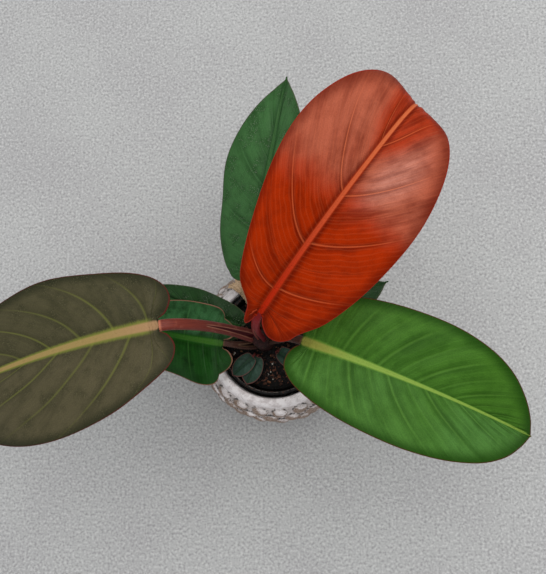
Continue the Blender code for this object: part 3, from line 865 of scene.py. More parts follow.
    def ribbed(self, colour: Value) -> Value:
        """Lay on the midrib, with its fibres and its paler or darker sides.

        Args:
            colour: the veined colour.

        Returns:
            The colour.
        """
        g, finish = self.g, self.finish
        lengthwise = self.along_mm * self.FIBRE_PITCH[0], g.part(self.flat, 1) * self.FIBRE_PITCH[1]
        fibre = g.noise(g.vector(*lengthwise), self.FIBRES)
        rib = g.lay(finish.rib, finish.rib_tip, self.along_mm, (self.RIB_START_MM, finish.rib_turn))
        rib = g.shaded(rib, 0.72 + 0.56 * fibre, self.FIBRE_STRENGTH)
        rounded = self.rib_place * self.rib_place * self.RIB_END_CURVE
        on_blade = g.step(self.along_mm - rounded, *self.RIB_END_MM)
        beside = self.rib_place + self.streaks.swing(0.8)
        beside = g.step(beside, finish.rib_glow, self.RIB_EDGE) * on_blade
        beside = beside * g.step(self.along_mm, *self.RIB_EDGE_MM)
        colour = g.mix(colour, finish.rib_edge, beside * (0.35 + 0.75 * fibre))
        on_rib = g.step(self.rib_place + fibre.swing(0.35), *self.RIB_REACH) * on_blade
        return g.mix(colour, rib, on_rib * finish.rib_strength)

    def build(self) -> Material:
        """Join the face's colours, gloss and relief.

        Returns:
            The material.
        """
        g, finish = self.g, self.finish
        colour = self.ribbed(self.veined(self.shade(self.with_flush_and_sheen())))
        colour = g.lay(colour, finish.margin, self.edge_mm, self.MARGIN_MM, self.MARGIN_STRENGTH)
        rough = finish.roughness + self.mottle.swing(0.14) + 0.08 * (1.0 - self.fade)
        height = self.streaks * 0.35 + self.mottle * 0.5 + self.fine * 0.2
        height = height - self.line * 0.7 * self.fade
        return g.finish(
            colour, rough, g.bump(height, finish.relief), Specular_IOR_Level=finish.gloss
        )


class UnderSide(BladeSide):
    """Underside, paler and more matte."""

    MOTTLE = Grain(70.0, 4.0, 0.6)
    STREAKS = Grain(1.0, 3.0, 0.6)
    STREAK_PITCH = (220.0, 5.0)
    MOTTLE_REACH = (0.40, 0.75)
    RIB_REACH = (1.2, 0.8)
    LINE_EDGE = 1.6
    LINE_CORE = 0.4

    def __init__(self, finish: BladeFinish) -> None:
        """Start the material of the underside."""
        super().__init__(finish, finish.name + "_under")

    def build(self) -> Material:
        """Join the underside's colours and relief.

        Returns:
            The material.
        """
        g, finish = self.g, self.finish
        width = finish.vein_width
        line = g.step(self.off_vein, width * self.LINE_EDGE, width * self.LINE_CORE)
        mottle = g.noise(self.flat, self.MOTTLE)
        streaks = self.drawn_out(self.STREAK_PITCH, self.STREAKS)
        colour = g.lay(finish.under, finish.shade, mottle, self.MOTTLE_REACH, 0.6)
        colour = g.mix(colour, finish.vein, line * 0.45)
        colour = g.lay(colour, finish.rib, abs(g.part(self.ribs, 0)), self.RIB_REACH, 0.85)
        colour = g.shaded(colour, 0.8 + 0.4 * streaks, 0.7)
        normal = g.bump(line * 0.8 + streaks * 0.3, finish.relief)
        rough = 0.5 + mottle.swing(0.15)
        return g.finish(colour, rough, normal, Specular_IOR_Level=finish.gloss)


@dataclass(frozen=True)
class PetioleFinish:
    """Colours of one petiole, from its root to its blade."""

    name: str
    slot: str
    low: Colour
    high: Colour
    streak: Colour
    light: Colour
    groove: Colour
    rim: Colour
    joint: Colour
    sheath: float = 0.45
    roughness: float = 0.36
    gloss: float = 0.16
    relief: float = 0.00035

    # Noises, and how fine they are along the stalk and round it
    STREAKS = Grain(2.2, 4.0, 0.6)
    STREAK_PITCH = (3.0, 26.0, 0.0)
    BLOTCHES = Grain(1.4, 3.0, 0.6)
    BLOTCH_PITCH = (14.0, 4.0, 3.0)

    # Where each colour starts and is full
    HIGH_REACH = (0.15, 0.95)
    STREAK_REACH = (0.48, 0.68)
    PAINTED_HIGHLIGHT_REACH = (0.55, 0.75)
    JOINT_REACH = (0.955, 0.985)
    GROOVE_REACH = (-0.015, 0.02)
    RIM_OUTER = (-0.08, -0.035)
    RIM_INNER = (0.01, -0.015)
    RIM_BREAKS = (0.4, 0.6)

    # The open sheath, as shares of its length and of the stalk's way round
    OPENING = 0.13
    OPENING_POWER = 0.6
    OPEN_END = 0.94
    DRY_REACH = (1.15, 0.55)

    def build(self) -> Material:
        """Material with streaks along the stalk and an open, dried sheath low down.

        Returns:
            The material.
        """
        g = Graph(self.name)
        stalk = g.uv("stalk")
        share, turn = g.part(stalk, 0), g.part(stalk, 1)
        streaks, blotches = (
            g.noise(g.vector(share * along, turn * round_it, shift), grain)
            for (along, round_it, shift), grain in (
                (self.STREAK_PITCH, self.STREAKS), (self.BLOTCH_PITCH, self.BLOTCHES)
            )
        )
        colour = g.lay(self.low, self.high, share, self.HIGH_REACH)
        colour = g.lay(colour, self.streak, streaks, self.STREAK_REACH, 0.7)
        # Pale patches laid by a noise: painted highlights on the glossy stalk
        colour = g.lay(colour, self.light, blotches, self.PAINTED_HIGHLIGHT_REACH, 0.35)
        top = g.math("PINGPONG", turn + 0.25, 0.5) * 2.0
        left_open = g.math("MAXIMUM", 1.0 - share * (1.0 / self.sheath), 0.0)
        inside = top - 1.0 + self.OPENING * left_open**self.OPENING_POWER
        is_open = g.step(share, self.sheath, self.sheath * self.OPEN_END)
        groove = g.step(inside, *self.GROOVE_REACH) * is_open
        colour = g.mix(colour, self.groove, groove * 0.92)
        rim = g.step(inside, *self.RIM_OUTER) * g.step(inside, *self.RIM_INNER) * is_open
        breaks = 0.35 + 0.65 * g.step(streaks, *self.RIM_BREAKS)
        colour = g.mix(colour, self.rim, rim * breaks)
        colour = g.lay(colour, self.joint, share, self.JOINT_REACH, 0.75)
        dry = g.step(share, *(self.sheath * end for end in self.DRY_REACH))
        rough = self.roughness + streaks.swing(0.2) + dry * 0.12
        normal = g.bump(streaks * 0.6 + blotches * 0.4, self.relief)
        return g.finish(colour, rough, normal, Specular_IOR_Level=self.gloss)


@dataclass(frozen=True)
class Leaf:
    """One leaf: where its blade meets its petiole, how the blade lies, and its petiole.

    Angles are degrees and lengths metres. Left is the left side looking from the petiole to
    the tip. Fold is how far a half rises from flat at the petiole and at the tip. Every other
    pair holds the left half's number and the right half's: slim and pinch are how much narrower
    a half is near the petiole, wave_start where its waves start, and lead and sweep how its side
    veins leave the midrib and lean to the tip. Cup is how far a half curls back down.
    """

    name: str
    blade: BladeFinish
    stalk: PetioleFinish
    base: Place
    heading: float
    rise: float
    droop: float
    length: float
    half_width: float
    root: Place
    root_heading: float
    petiole_radius: float
    sway: float = 0.0
    late: float = 0.0
    late_from: float = 0.7
    roll: float = 0.0
    roll_change: float = 0.0
    fold_left: Pair = (12.0, 12.0)
    fold_right: Pair = (12.0, 12.0)
    cup: float = 15.0
    lobe: float = 1.0
    belly: float = 1.0
    sharp: float = 1.0
    side: float = 0.0
    slim: Pair = (0.0, 0.0)
    pinch: Pair = (0.0, 0.0)
    wave: float = 0.002
    wave_count: float = 2.0
    wave_start: Pair = (0.0, 0.4)
    ripple: float = 0.0
    take_off: float = 58.0
    sheath: float = 0.45
    sheath_widening: float = 0.22
    plan: VeinPlan = VeinPlan.LARGE
    quilt: float = 0.0006
    swell: float = 0.0008
    lead: Pair = (0.5, 0.5)
    sweep: Pair = (0.4, 0.4)
    rib_tip: float = 0.35
    rib_curve: float = 1.6
    rings: int = 96
    sides: int = 44
    seed: int = 3

    PATH_STEPS = 80
    FAN = 0.30
    FAN_SPREAD = 0.035
    SPINE_LAG = 1.1
    RIPPLES_ALONG = 2.6
    RIPPLE_START = 0.25
    LEAN_SEATS = 1.5
    PINCH_REACH = 0.045
    SHARP_FROM = 0.35
    SHARP_OVER = 0.40
    SEAT_MARGIN = 0.0005
    RIB_FADE = 0.8
    RIB_DEPTH_SHARE = 1.5
    RIB_HEIGHT = 0.16
    BLADE_THICKNESS = 0.0007

    # Rows that turn out from the petiole in a fan, and how they lead on to the side veins
    FAN_OUT = 0.8
    FAN_LEVEL = 0.3
    FAN_DECAY = 0.5
    FAN_OVERLAP = 0.04
    FAN_FIRMNESS = 1.3
    LEAD_REACH = (0.12, 0.42)
    RIB_SHARE_MOST = 0.6
    RIB_PLACE_MOST = 4.0

    # Relief of the upper face, over the seat's half width or the blade's share and reach
    RIB_RISE = 2.5
    RIB_ROUND = 0.75
    GUTTER_PLACE = 1.4
    GUTTER_WIDTH = 0.6
    GUTTER_DEPTH = 0.07
    QUILT_INNER = (0.06, 0.31)
    QUILT_OUTER = (1.02, 0.67)
    QUILT_START = (0.10, 0.34)
    CREASE_WIDTH = 0.06
    CREASE_DEPTH = 0.25
    SWELL_LENGTHS = (0.035, 0.090)
    SWELL_REACH = 0.5

    PETIOLE_FLATNESS = 0.85
    PETIOLE_LEAD = 0.45
    PETIOLE_APPROACH = 0.30
    PETIOLE_APPROACH_MOST = 0.022
    PETIOLE_REACH_IN = 0.0016
    SHEATH_DEEPENING = 0.15
    GROOVE_DEPTH = 0.22
    SHEATH_GROOVE_DEPTH = 0.62
    GROOVE_WIDTH = 0.55
    SHEATH_UNEVEN = 0.05
    SHEATH_WAVES = 23.0
    STRAIGHT_END = 3

    @property
    def seat(self) -> float:
        """Half width of the midrib where the petiole joins it."""
        return self.petiole_radius + self.SEAT_MARGIN

    def angles(self, share: Array) -> tuple[Array, Array]:
        """Elevation and heading of the midrib in radians.

        Args:
            share: shares of the blade's length.

        Returns:
            Elevation and heading.
        """
        inside = np.clip(share, 0.0, 1.0)
        past = np.maximum(inside - self.late_from, 0.0) / (1.0 - self.late_from)
        elevation = self.rise - self.droop * inside - self.late * past**2
        return np.radians(elevation), np.radians(self.heading + self.sway * inside)

    def path(self) -> Array:
        """Add up the midrib's direction.

        Returns:
            Points along the midrib.
        """
        middles = (np.arange(self.PATH_STEPS) + 0.5) / self.PATH_STEPS
        steps = pointing(*self.angles(middles)) * (self.length / self.PATH_STEPS)
        start = np.array([self.base])
        return np.vstack([start, start + np.cumsum(steps, axis=0)])

    def midrib(self, share: Array) -> tuple[Array, Array, Array, Array]:
        """The midrib's line and directions; straight behind the petiole's end.

        Args:
            share: shares of the blade's length.

        Returns:
            Point, forward, left and up.
        """
        path = self.path()
        place = np.clip(share, 0.0, 1.0) * self.PATH_STEPS
        steps = np.arange(self.PATH_STEPS + 1)
        point = np.stack([np.interp(place, steps, path[:, axis]) for axis in range(3)], -1)
        elevation, heading = self.angles(share)
        forward = pointing(elevation, heading)
        left = np.stack([-np.sin(heading), np.cos(heading), np.zeros_like(heading)], -1)
        up = np.cross(forward, left)
        roll = np.radians(self.roll + self.roll_change * np.clip(share, 0.0, 1.0))[..., None]
        turned_left = left * np.cos(roll) + up * np.sin(roll)
        turned_up = up * np.cos(roll) - left * np.sin(roll)
        behind = np.minimum(share, 0.0)[..., None] * self.length
        return point + forward * behind, forward, turned_left, turned_up

    def surface(self, along: Array, across: Array, lift: Array) -> Array:
        """Places on the blade's upper face.

        Args:
            along: flat distances along the midrib.
            across: flat distances from the midrib, left positive.
            lift: heights above the smooth sheet.

        Returns:
            The places.
        """
        share = along / self.length
        point, _, left, up = self.midrib(share)
        inside = np.clip(share, 0.0, 1.0)
        is_left = across > 0.0
        reach = np.abs(across)
        start = np.where(is_left, self.fold_left[0], self.fold_right[0])
        end = np.where(is_left, self.fold_left[1], self.fold_right[1])
        curl = 0.5 * self.cup * reach / self.half_width
        tilt = np.radians(start + (end - start) * inside - curl)
        phase = np.where(is_left, *self.wave_start)
        wave = self.wave * (reach / self.half_width) ** 2
        wave = wave * np.sin(TAU * (self.wave_count * share + phase))
        outward = left * np.where(is_left, 1.0, -1.0)[..., None]
        sheet = point + outward * (reach * np.cos(tilt))[..., None]
        sheet = sheet + up * (reach * np.sin(tilt) + wave)[..., None]
        lean = tilt * smooth_step(reach / (self.LEAN_SEATS * self.seat))
        normal = up * np.cos(lean)[..., None] - outward * np.sin(lean)[..., None]
        return sheet + normal * lift[..., None]

    def margin(self, share: Array, side: int) -> tuple[Array, Array]:
        """Flat places of the margin.

        Args:
            share: from the petiole's seat at 0 to the tip at 1.
            side: 1 for the left half, -1 for the right.

        Returns:
            Distances along and across, both in metres.
        """
        outline = [(0.0, self.seat / self.half_width)]
        outline += [(a * self.lobe if a < 0.0 else a, c) for a, c in BLADE_OUTLINE]
        curve = spline(np.array(outline), share)
        along, across = curve[:, 0], np.maximum(curve[:, 1], 0.0)
        inside = np.clip(along, 0.0, 1.0)
        sharpen = smooth_step((inside - self.SHARP_FROM) / self.SHARP_OVER)
        across = across ** (1.0 + (self.sharp - 1.0) * sharpen)
        across = across * (1.0 - of_side(self.slim, side) * (1.0 - inside) ** 2)
        if side < 0:
            ripple = self.ripple * np.cos(TAU * self.RIPPLES_ALONG * inside)
            across = across * (1.0 + ripple * np.minimum(share / self.RIPPLE_START, 1.0))
        across = across * (1.0 + self.side * side)
        pinch = of_side(self.pinch, side) * np.exp(-((inside / self.PINCH_REACH) ** 2))
        across = across * (1.0 - pinch)
        across = np.where(share == 0.0, outline[0][1], across)
        along = np.where(along > 0.0, inside**self.belly, along)
        return along * self.length, across * self.half_width

    def rib_width(self, share: Array) -> Array:
        """Width of the midrib at a share of the length, over its width at the petiole."""
        ahead = 1.0 - np.clip(share, 0.0, 1.0)
        return self.rib_tip + (1.0 - self.rib_tip) * ahead**self.rib_curve

    def half(self, side: int) -> dict[str, Array]:
        """Flat layout of one half of the blade; rows follow the side veins.

        Args:
            side: 1 for the left half, -1 for the right.

        Returns:
            Along, across, share, fraction, rib place and distance to the margin, by row and
            by column from the midrib outwards.
        """
        rows, columns, ribs = self.plan.value
        share = np.arange(rows + 1) / rows
        sweep, lead = of_side(self.sweep, side), of_side(self.lead, side)
        past_fan = np.maximum(share - self.FAN, 0.0)
        margin_along, margin_across = self.margin(share + sweep * past_fan * (1.0 - share), side)
        spine_share = self.FAN_SPREAD * smooth_step(share / self.FAN)
        spine_ahead = (past_fan / (1.0 - self.FAN)) ** self.SPINE_LAG
        spine_share = spine_share + (1.0 - self.FAN_SPREAD) * spine_ahead
        spine = spine_share * self.length
        gap = np.hypot(margin_along, margin_across - self.seat)
        turn_across = self.seat + self.FAN_OUT * gap
        turn_ahead = (1.0 - self.FAN_LEVEL) * np.exp(-self.FAN_DECAY * gap / self.seat)
        turn_along = gap * (self.FAN_LEVEL + turn_ahead)
        in_fan = smooth_step((self.FAN + self.FAN_OVERLAP - share) / self.FAN * self.FAN_FIRMNESS)
        straight = 1.0 - (1.0 - lead) * smooth_step(share, *self.LEAD_REACH)
        run = margin_along - spine
        mid_along = spine + 0.5 * run * straight
        mid_along = mid_along + in_fan * (turn_along - mid_along)
        mid_across = 0.5 * margin_across + in_fan * (turn_across - 0.5 * margin_across)
        row_length = np.maximum(np.hypot(run, margin_across), WELD)
        rib_half = self.seat * self.rib_width(spine_share)
        rib_half = np.where(share < self.FAN, rib_half, np.minimum(rib_half, 0.5 * margin_across))
        rib_half = np.maximum(rib_half, WELD)
        inner = rib_half / np.maximum(2.0 * mid_across, WELD)
        inner = np.minimum(inner, self.RIB_SHARE_MOST)
        column = np.arange(columns + 1)
        on_rib = np.minimum(column / ribs, 1.0)
        past_rib = np.maximum(column - ribs, 0) / (columns - ribs)
        part = inner[:, None] * on_rib + (1.0 - inner[:, None]) * past_rib
        across = 2.0 * mid_across[:, None] * part * (1.0 - part) + margin_across[:, None] * part**2
        along = spine[:, None] * (1.0 - part) ** 2 + 2.0 * mid_along[:, None] * part * (1.0 - part)
        along = along + margin_along[:, None] * part**2
        return {
            "along": along,
            "across": side * across,
            "share": np.repeat(share[:, None], columns + 1, axis=1),
            "fraction": side * part,
            "rib": side * np.minimum(across / rib_half[:, None], self.RIB_PLACE_MOST),
            "edge": (1.0 - part) * row_length[:, None] / MILLIMETRE,
        }

    def lift(self, layout: dict[str, Array]) -> Array:
        """Height of the midrib, the quilting between veins and low swells.

        Args:
            layout: the blade's flat layout.

        Returns:
            Heights above the smooth sheet.
        """
        share, fraction = layout["share"], layout["fraction"]
        side = np.where(fraction > 0.0, 1.0, -1.0)
        reach = np.abs(fraction)
        rib = np.abs(layout["rib"])
        taper = self.rib_width(layout["along"] / self.length)
        taper = taper * smooth_step(layout["along"] / (self.RIB_RISE * self.seat))
        band = np.maximum(1.0 - rib**2, 0.0) ** self.RIB_ROUND
        band = band * self.seat * taper * self.RIB_HEIGHT
        gutter = np.exp(-(((rib - self.GUTTER_PLACE) / self.GUTTER_WIDTH) ** 2))
        gutter = gutter * self.seat * self.GUTTER_DEPTH
        row = share - fraction**2 * self.blade.vein_bend
        sway = np.sin(share * VEIN_SWAY + side * VEIN_SIDE_SHIFT + self.blade.seed)
        phase = row * self.blade.vein_count + side * self.blade.vein_stagger
        phase = phase + self.blade.vein_start + VEIN_UNEVEN * sway
        envelope = smooth_step(reach, *self.QUILT_INNER) * smooth_step(reach, *self.QUILT_OUTER)
        envelope = envelope * smooth_step(share, *self.QUILT_START)
        between = 0.5 - 0.5 * np.cos(TAU * phase)
        off_vein = np.abs(phase - np.round(phase))
        crease = np.exp(-((off_vein / self.CREASE_WIDTH) ** 2)) * self.CREASE_DEPTH
        quilt = (between - crease) * envelope * self.quilt
        low = swells(layout["along"], layout["across"], self.seed, *self.SWELL_LENGTHS)
        return band - gutter + quilt + low * smooth_step(reach / self.SWELL_REACH) * self.swell

    def build_blade(self) -> None:
        """The blade: a bent sheet with its veins, thickened downwards with a deep midrib."""
        left, right = self.half(1), self.half(-1)
        layout = {
            key: np.concatenate([left[key][:, ::-1], right[key][:, 1:]], axis=1) for key in left
        }
        points = self.surface(layout["along"], layout["across"], self.lift(layout))
        bm, spots = sheet_grid(points)
        maps = {
            "veins": (layout["share"], layout["fraction"]),
            "rib": (layout["rib"], layout["edge"]),
            "flat": (layout["along"], layout["across"]),
        }
        map_corners(bm, spots, maps)
        group = bm.verts.layers.deform.new()
        fade = (1.0 - np.clip(layout["along"] / self.length, 0.0, 1.0)) ** self.RIB_FADE
        depth = np.maximum(1.0 - layout["rib"] ** 2, 0.0) * fade
        depth = depth * smooth_step(layout["along"] / self.seat + 1.0)
        for vertex, spot in zip(bm.verts, spots):
            vertex[group][0] = float(depth[spot])
        bmesh.ops.remove_doubles(bm, verts=bm.verts, dist=WELD)
        piece = finish_piece(bm, self.name + "_leaf_blade", self.blade.build())
        piece.vertex_groups.new(name="rib")
        rib_depth = self.petiole_radius * self.RIB_DEPTH_SHARE
        solidify = piece.modifiers.new("thickness", "SOLIDIFY")
        solidify.thickness = rib_depth
        solidify.offset = -1.0
        solidify.vertex_group = "rib"
        solidify.thickness_vertex_group = self.BLADE_THICKNESS / rib_depth
        solidify.material_offset = 1
        solidify.material_offset_rim = 0
        register(piece, self.blade.slot, self.name + "_blade")

    def petiole_line(self) -> tuple[Array, Array, Array]:
        """The petiole's centre line.

        Returns:
            Its points from the root to just inside the blade's seat, and the blade's forward
            and up directions there.
        """
        point, forward, _, up = (part[0] for part in self.midrib(np.zeros(1)))
        heading = math.radians(self.root_heading)
        start = np.array(self.root)
        end = point - up * (self.petiole_radius * self.PETIOLE_FLATNESS)
        leave = pointing(np.radians(self.take_off), np.array(heading))
        span = float(np.linalg.norm(end - start))
        lead = start + leave * span * self.PETIOLE_LEAD
        approach = end - forward * min(span * self.PETIOLE_APPROACH, self.PETIOLE_APPROACH_MOST)
        t = (np.arange(self.rings) / (self.rings - 1))[:, None]
        line = start * (1 - t) ** 3 + 3 * lead * t * (1 - t) ** 2
        line = line + 3 * approach * t**2 * (1 - t) + end * t**3
        return np.vstack([line, end + forward * self.PETIOLE_REACH_IN]), forward, up

    def build_petiole(self) -> None:
        """The petiole: an open sheath low down and a flat-topped stalk above."""
        line, end_forward, end_up = self.petiole_line()
        heading = math.radians(self.root_heading)
        share = np.linspace(0.0, 1.0, len(line))
        forward = np.gradient(line, axis=0)
        forward[-self.STRAIGHT_END:] = end_forward
        forward = forward / np.linalg.norm(forward, axis=1)[:, None]
        blend = smooth_step(share)[:, None]
        side_on = np.array((-math.sin(heading), math.cos(heading), 0.0))
        side = side_on * (1.0 - blend) + np.cross(end_up, end_forward) * blend
        side = side - forward * np.sum(side * forward, axis=1)[:, None]
        side = side / np.linalg.norm(side, axis=1)[:, None]
        up = np.cross(forward, side)
        turn = np.linspace(0.0, 1.0, self.sides + 1)
        angle = TAU * turn[None, :]
        sheath = 1.0 - smooth_step(share / self.sheath)[:, None]
        wave = np.sin(share * self.SHEATH_WAVES + self.seed)[:, None]
        uneven = 1.0 + self.SHEATH_UNEVEN * wave * sheath
        width = self.petiole_radius * (1.0 + self.sheath_widening * sheath) * uneven
        height = self.petiole_radius * (self.PETIOLE_FLATNESS + self.SHEATH_DEEPENING * sheath)
        across = width * np.cos(angle)
        groove = np.maximum(np.sin(angle), 0.0)
        groove = groove * np.exp(-((across / (self.GROOVE_WIDTH * width)) ** 2))
        groove = groove * (self.GROOVE_DEPTH + self.SHEATH_GROOVE_DEPTH * sheath)
        above = height * (np.sin(angle) - groove)
        across[:, -1], above[:, -1] = across[:, 0], above[:, 0]
        points = line[:, None] + side[:, None] * across[..., None] + up[:, None] * above[..., None]
        bm, spots = sheet_grid(points)
        map_corners(bm, spots, {"stalk": np.broadcast_arrays(share[:, None], turn[None, :])})
        bmesh.ops.remove_doubles(bm, verts=bm.verts, dist=WELD)
        bmesh.ops.holes_fill(bm, edges=[edge for edge in bm.edges if edge.is_boundary], sides=0)
        bmesh.ops.recalc_face_normals(bm, faces=bm.faces)
        piece = finish_piece(bm, self.name + "_leaf_petiole", (self.stalk.build(),))
        register(piece, self.stalk.slot, self.name + "_petiole")


def of_side(pair: Pair, side: int) -> float:
    """The left or the right number of a pair, for a side of 1 or -1."""
    return pair[0] if side > 0 else pair[1]


def pointing(elevation: Array, heading: Array) -> Array:
    """Unit directions.

    Args:
        elevation: angles above the horizon in radians.
        heading: angles from +X towards +Y in radians.

    Returns:
        The directions.
    """
    flat = np.cos(elevation)
    return np.stack([flat * np.cos(heading), flat * np.sin(heading), np.sin(elevation)], -1)


def spline(points: Array, share: Array) -> Array:
    """Points of a Catmull-Rom curve.

    Args:
        points: the points that it runs through.
        share: places from its start at 0 to its end at 1.

    Returns:
        The curve's points.
    """
    last = len(points) - 1
    padded = np.vstack([2 * points[0] - points[1], points, 2 * points[-1] - points[-2]])
    place = np.asarray(share) * last
    index = np.minimum(place.astype(int), last - 1)
    part = (place - index)[:, None]
    before, first, second, after = (padded[index + step] for step in range(4))
    return 0.5 * (
        2 * first + (second - before) * part
        + (2 * before - 5 * first + 4 * second - after) * part**2
        + (3 * first - before - 3 * second + after) * part**3
    )


# Pots, soil and stem


@dataclass(frozen=True)
class CeramicFinish:
    """Weathered clay under a white wash: ochre knobs, white on top, with thin broken dark edges. The
    ochre on each knob's lower side and on one flank is partly worn wash and partly painted shade, and
    the white on its top partly painted light.
    """

    white: Colour = tint(236, 229, 228)
    pale: Colour = tint(190, 179, 177)
    brown: Colour = tint(108, 77, 45)
    dark: Colour = tint(30, 24, 22)
    joint: Colour = tint(176, 165, 160)
    chalk: Colour = (0.82, 0.80, 0.79)
    relief: float = 0.0006

    # Noises
    WASH = Grain(130.0, 4.0, 0.65)
    FINE = Grain(650.0, 3.0, 0.6)
    BROAD = Grain(30.0, 2.0)
    BREAKS = Grain(190.0, 3.0, 0.6)
    CRACKS = Grain(330.0, 4.0, 0.7)
    CLUSTERS = Grain(60.0)

    # Specks: scale, size and feather
    PITS = (260.0, 0.16, 0.08)
    CHALK = (520.0, 0.16, 0.10)

    # Where each colour starts and is full; rings are 1 at a knob's edge
    PALE_REACH = (0.42, 0.66)
    JOINT_RING = (0.72, 0.98)
    WORN_AND_SHADED_REACH = (0.80, 0.58)
    WORN_AND_SHADED_RING = (1.04, 0.84)
    EDGE_INNER = (0.90, 0.95)
    EDGE_OUTER = (1.06, 1.01)
    EDGE_UPPER = (0.0, -0.4)
    EDGE_BREAKS = (0.44, 0.52)
    CRACK_REACH = (0.60, 0.68)
    PIT_CLUSTERS = (0.52, 0.66)
    SMOKE_REACH = (0.56, 0.80)

    def build(self) -> Material:
        """Material driven by where on its nearest knob a place is.

        Returns:
            The material.
        """
        g = Graph("whitewashed_clay")
        place = g.place()
        ring, drop, lean, tone, facing, on_wall = (
            g.attribute(name) for name in ("ring", "drop", "lean", "tone", "facing", "on_wall")
        )
        wash, fine = g.noise(place, self.WASH), g.noise(place, self.FINE)
        colour = g.lay(self.white, self.pale, wash, self.PALE_REACH, 0.8)
        off_knob = g.step(ring + wash.swing(0.3), *self.JOINT_RING) * on_wall
        colour = g.mix(colour, self.joint, off_knob * (0.4 + 0.6 * wash))
        # Ochre where a knob faces down and on one flank: partly worn wash, partly painted shade; the
        # white where it faces up is partly painted light
        wash_and_light_level = facing + lean * 0.30 + wash.swing(1.1) + tone.swing(0.3)
        worn_and_shaded = g.step(wash_and_light_level, *self.WORN_AND_SHADED_REACH) * g.step(ring, *self.WORN_AND_SHADED_RING) * on_wall
        colour = g.mix(colour, self.brown, worn_and_shaded * (0.55 + 0.6 * fine))
        breaks = g.step(fine * 0.5 + g.noise(place, self.BREAKS) * 0.5, *self.EDGE_BREAKS)
        edge = g.step(ring, *self.EDGE_INNER) * g.step(ring, *self.EDGE_OUTER)
        edge = edge * g.step(drop, *self.EDGE_UPPER)
        colour = g.mix(colour, self.dark, edge * breaks * 0.95 * on_wall)
        cracks = g.step(g.noise(place, self.CRACKS), *self.CRACK_REACH)
        colour = g.mix(colour, self.dark, cracks * off_knob * 0.5)
        clusters = g.step(g.noise(place, self.CLUSTERS), *self.PIT_CLUSTERS)
        pits = g.specks(place, *self.PITS) * clusters
        colour = g.mix(colour, self.brown, pits * 0.6)
        colour = g.mix(colour, self.chalk, g.specks(place, *self.CHALK) * 0.55)
        colour = g.lay(colour, self.brown, g.noise(place, self.BROAD), self.SMOKE_REACH, 0.18)
        height = wash * 0.5 + fine * 0.5 - pits * 0.6
        return g.finish(colour, 0.55 + fine.swing(0.2), g.bump(height, self.relief))


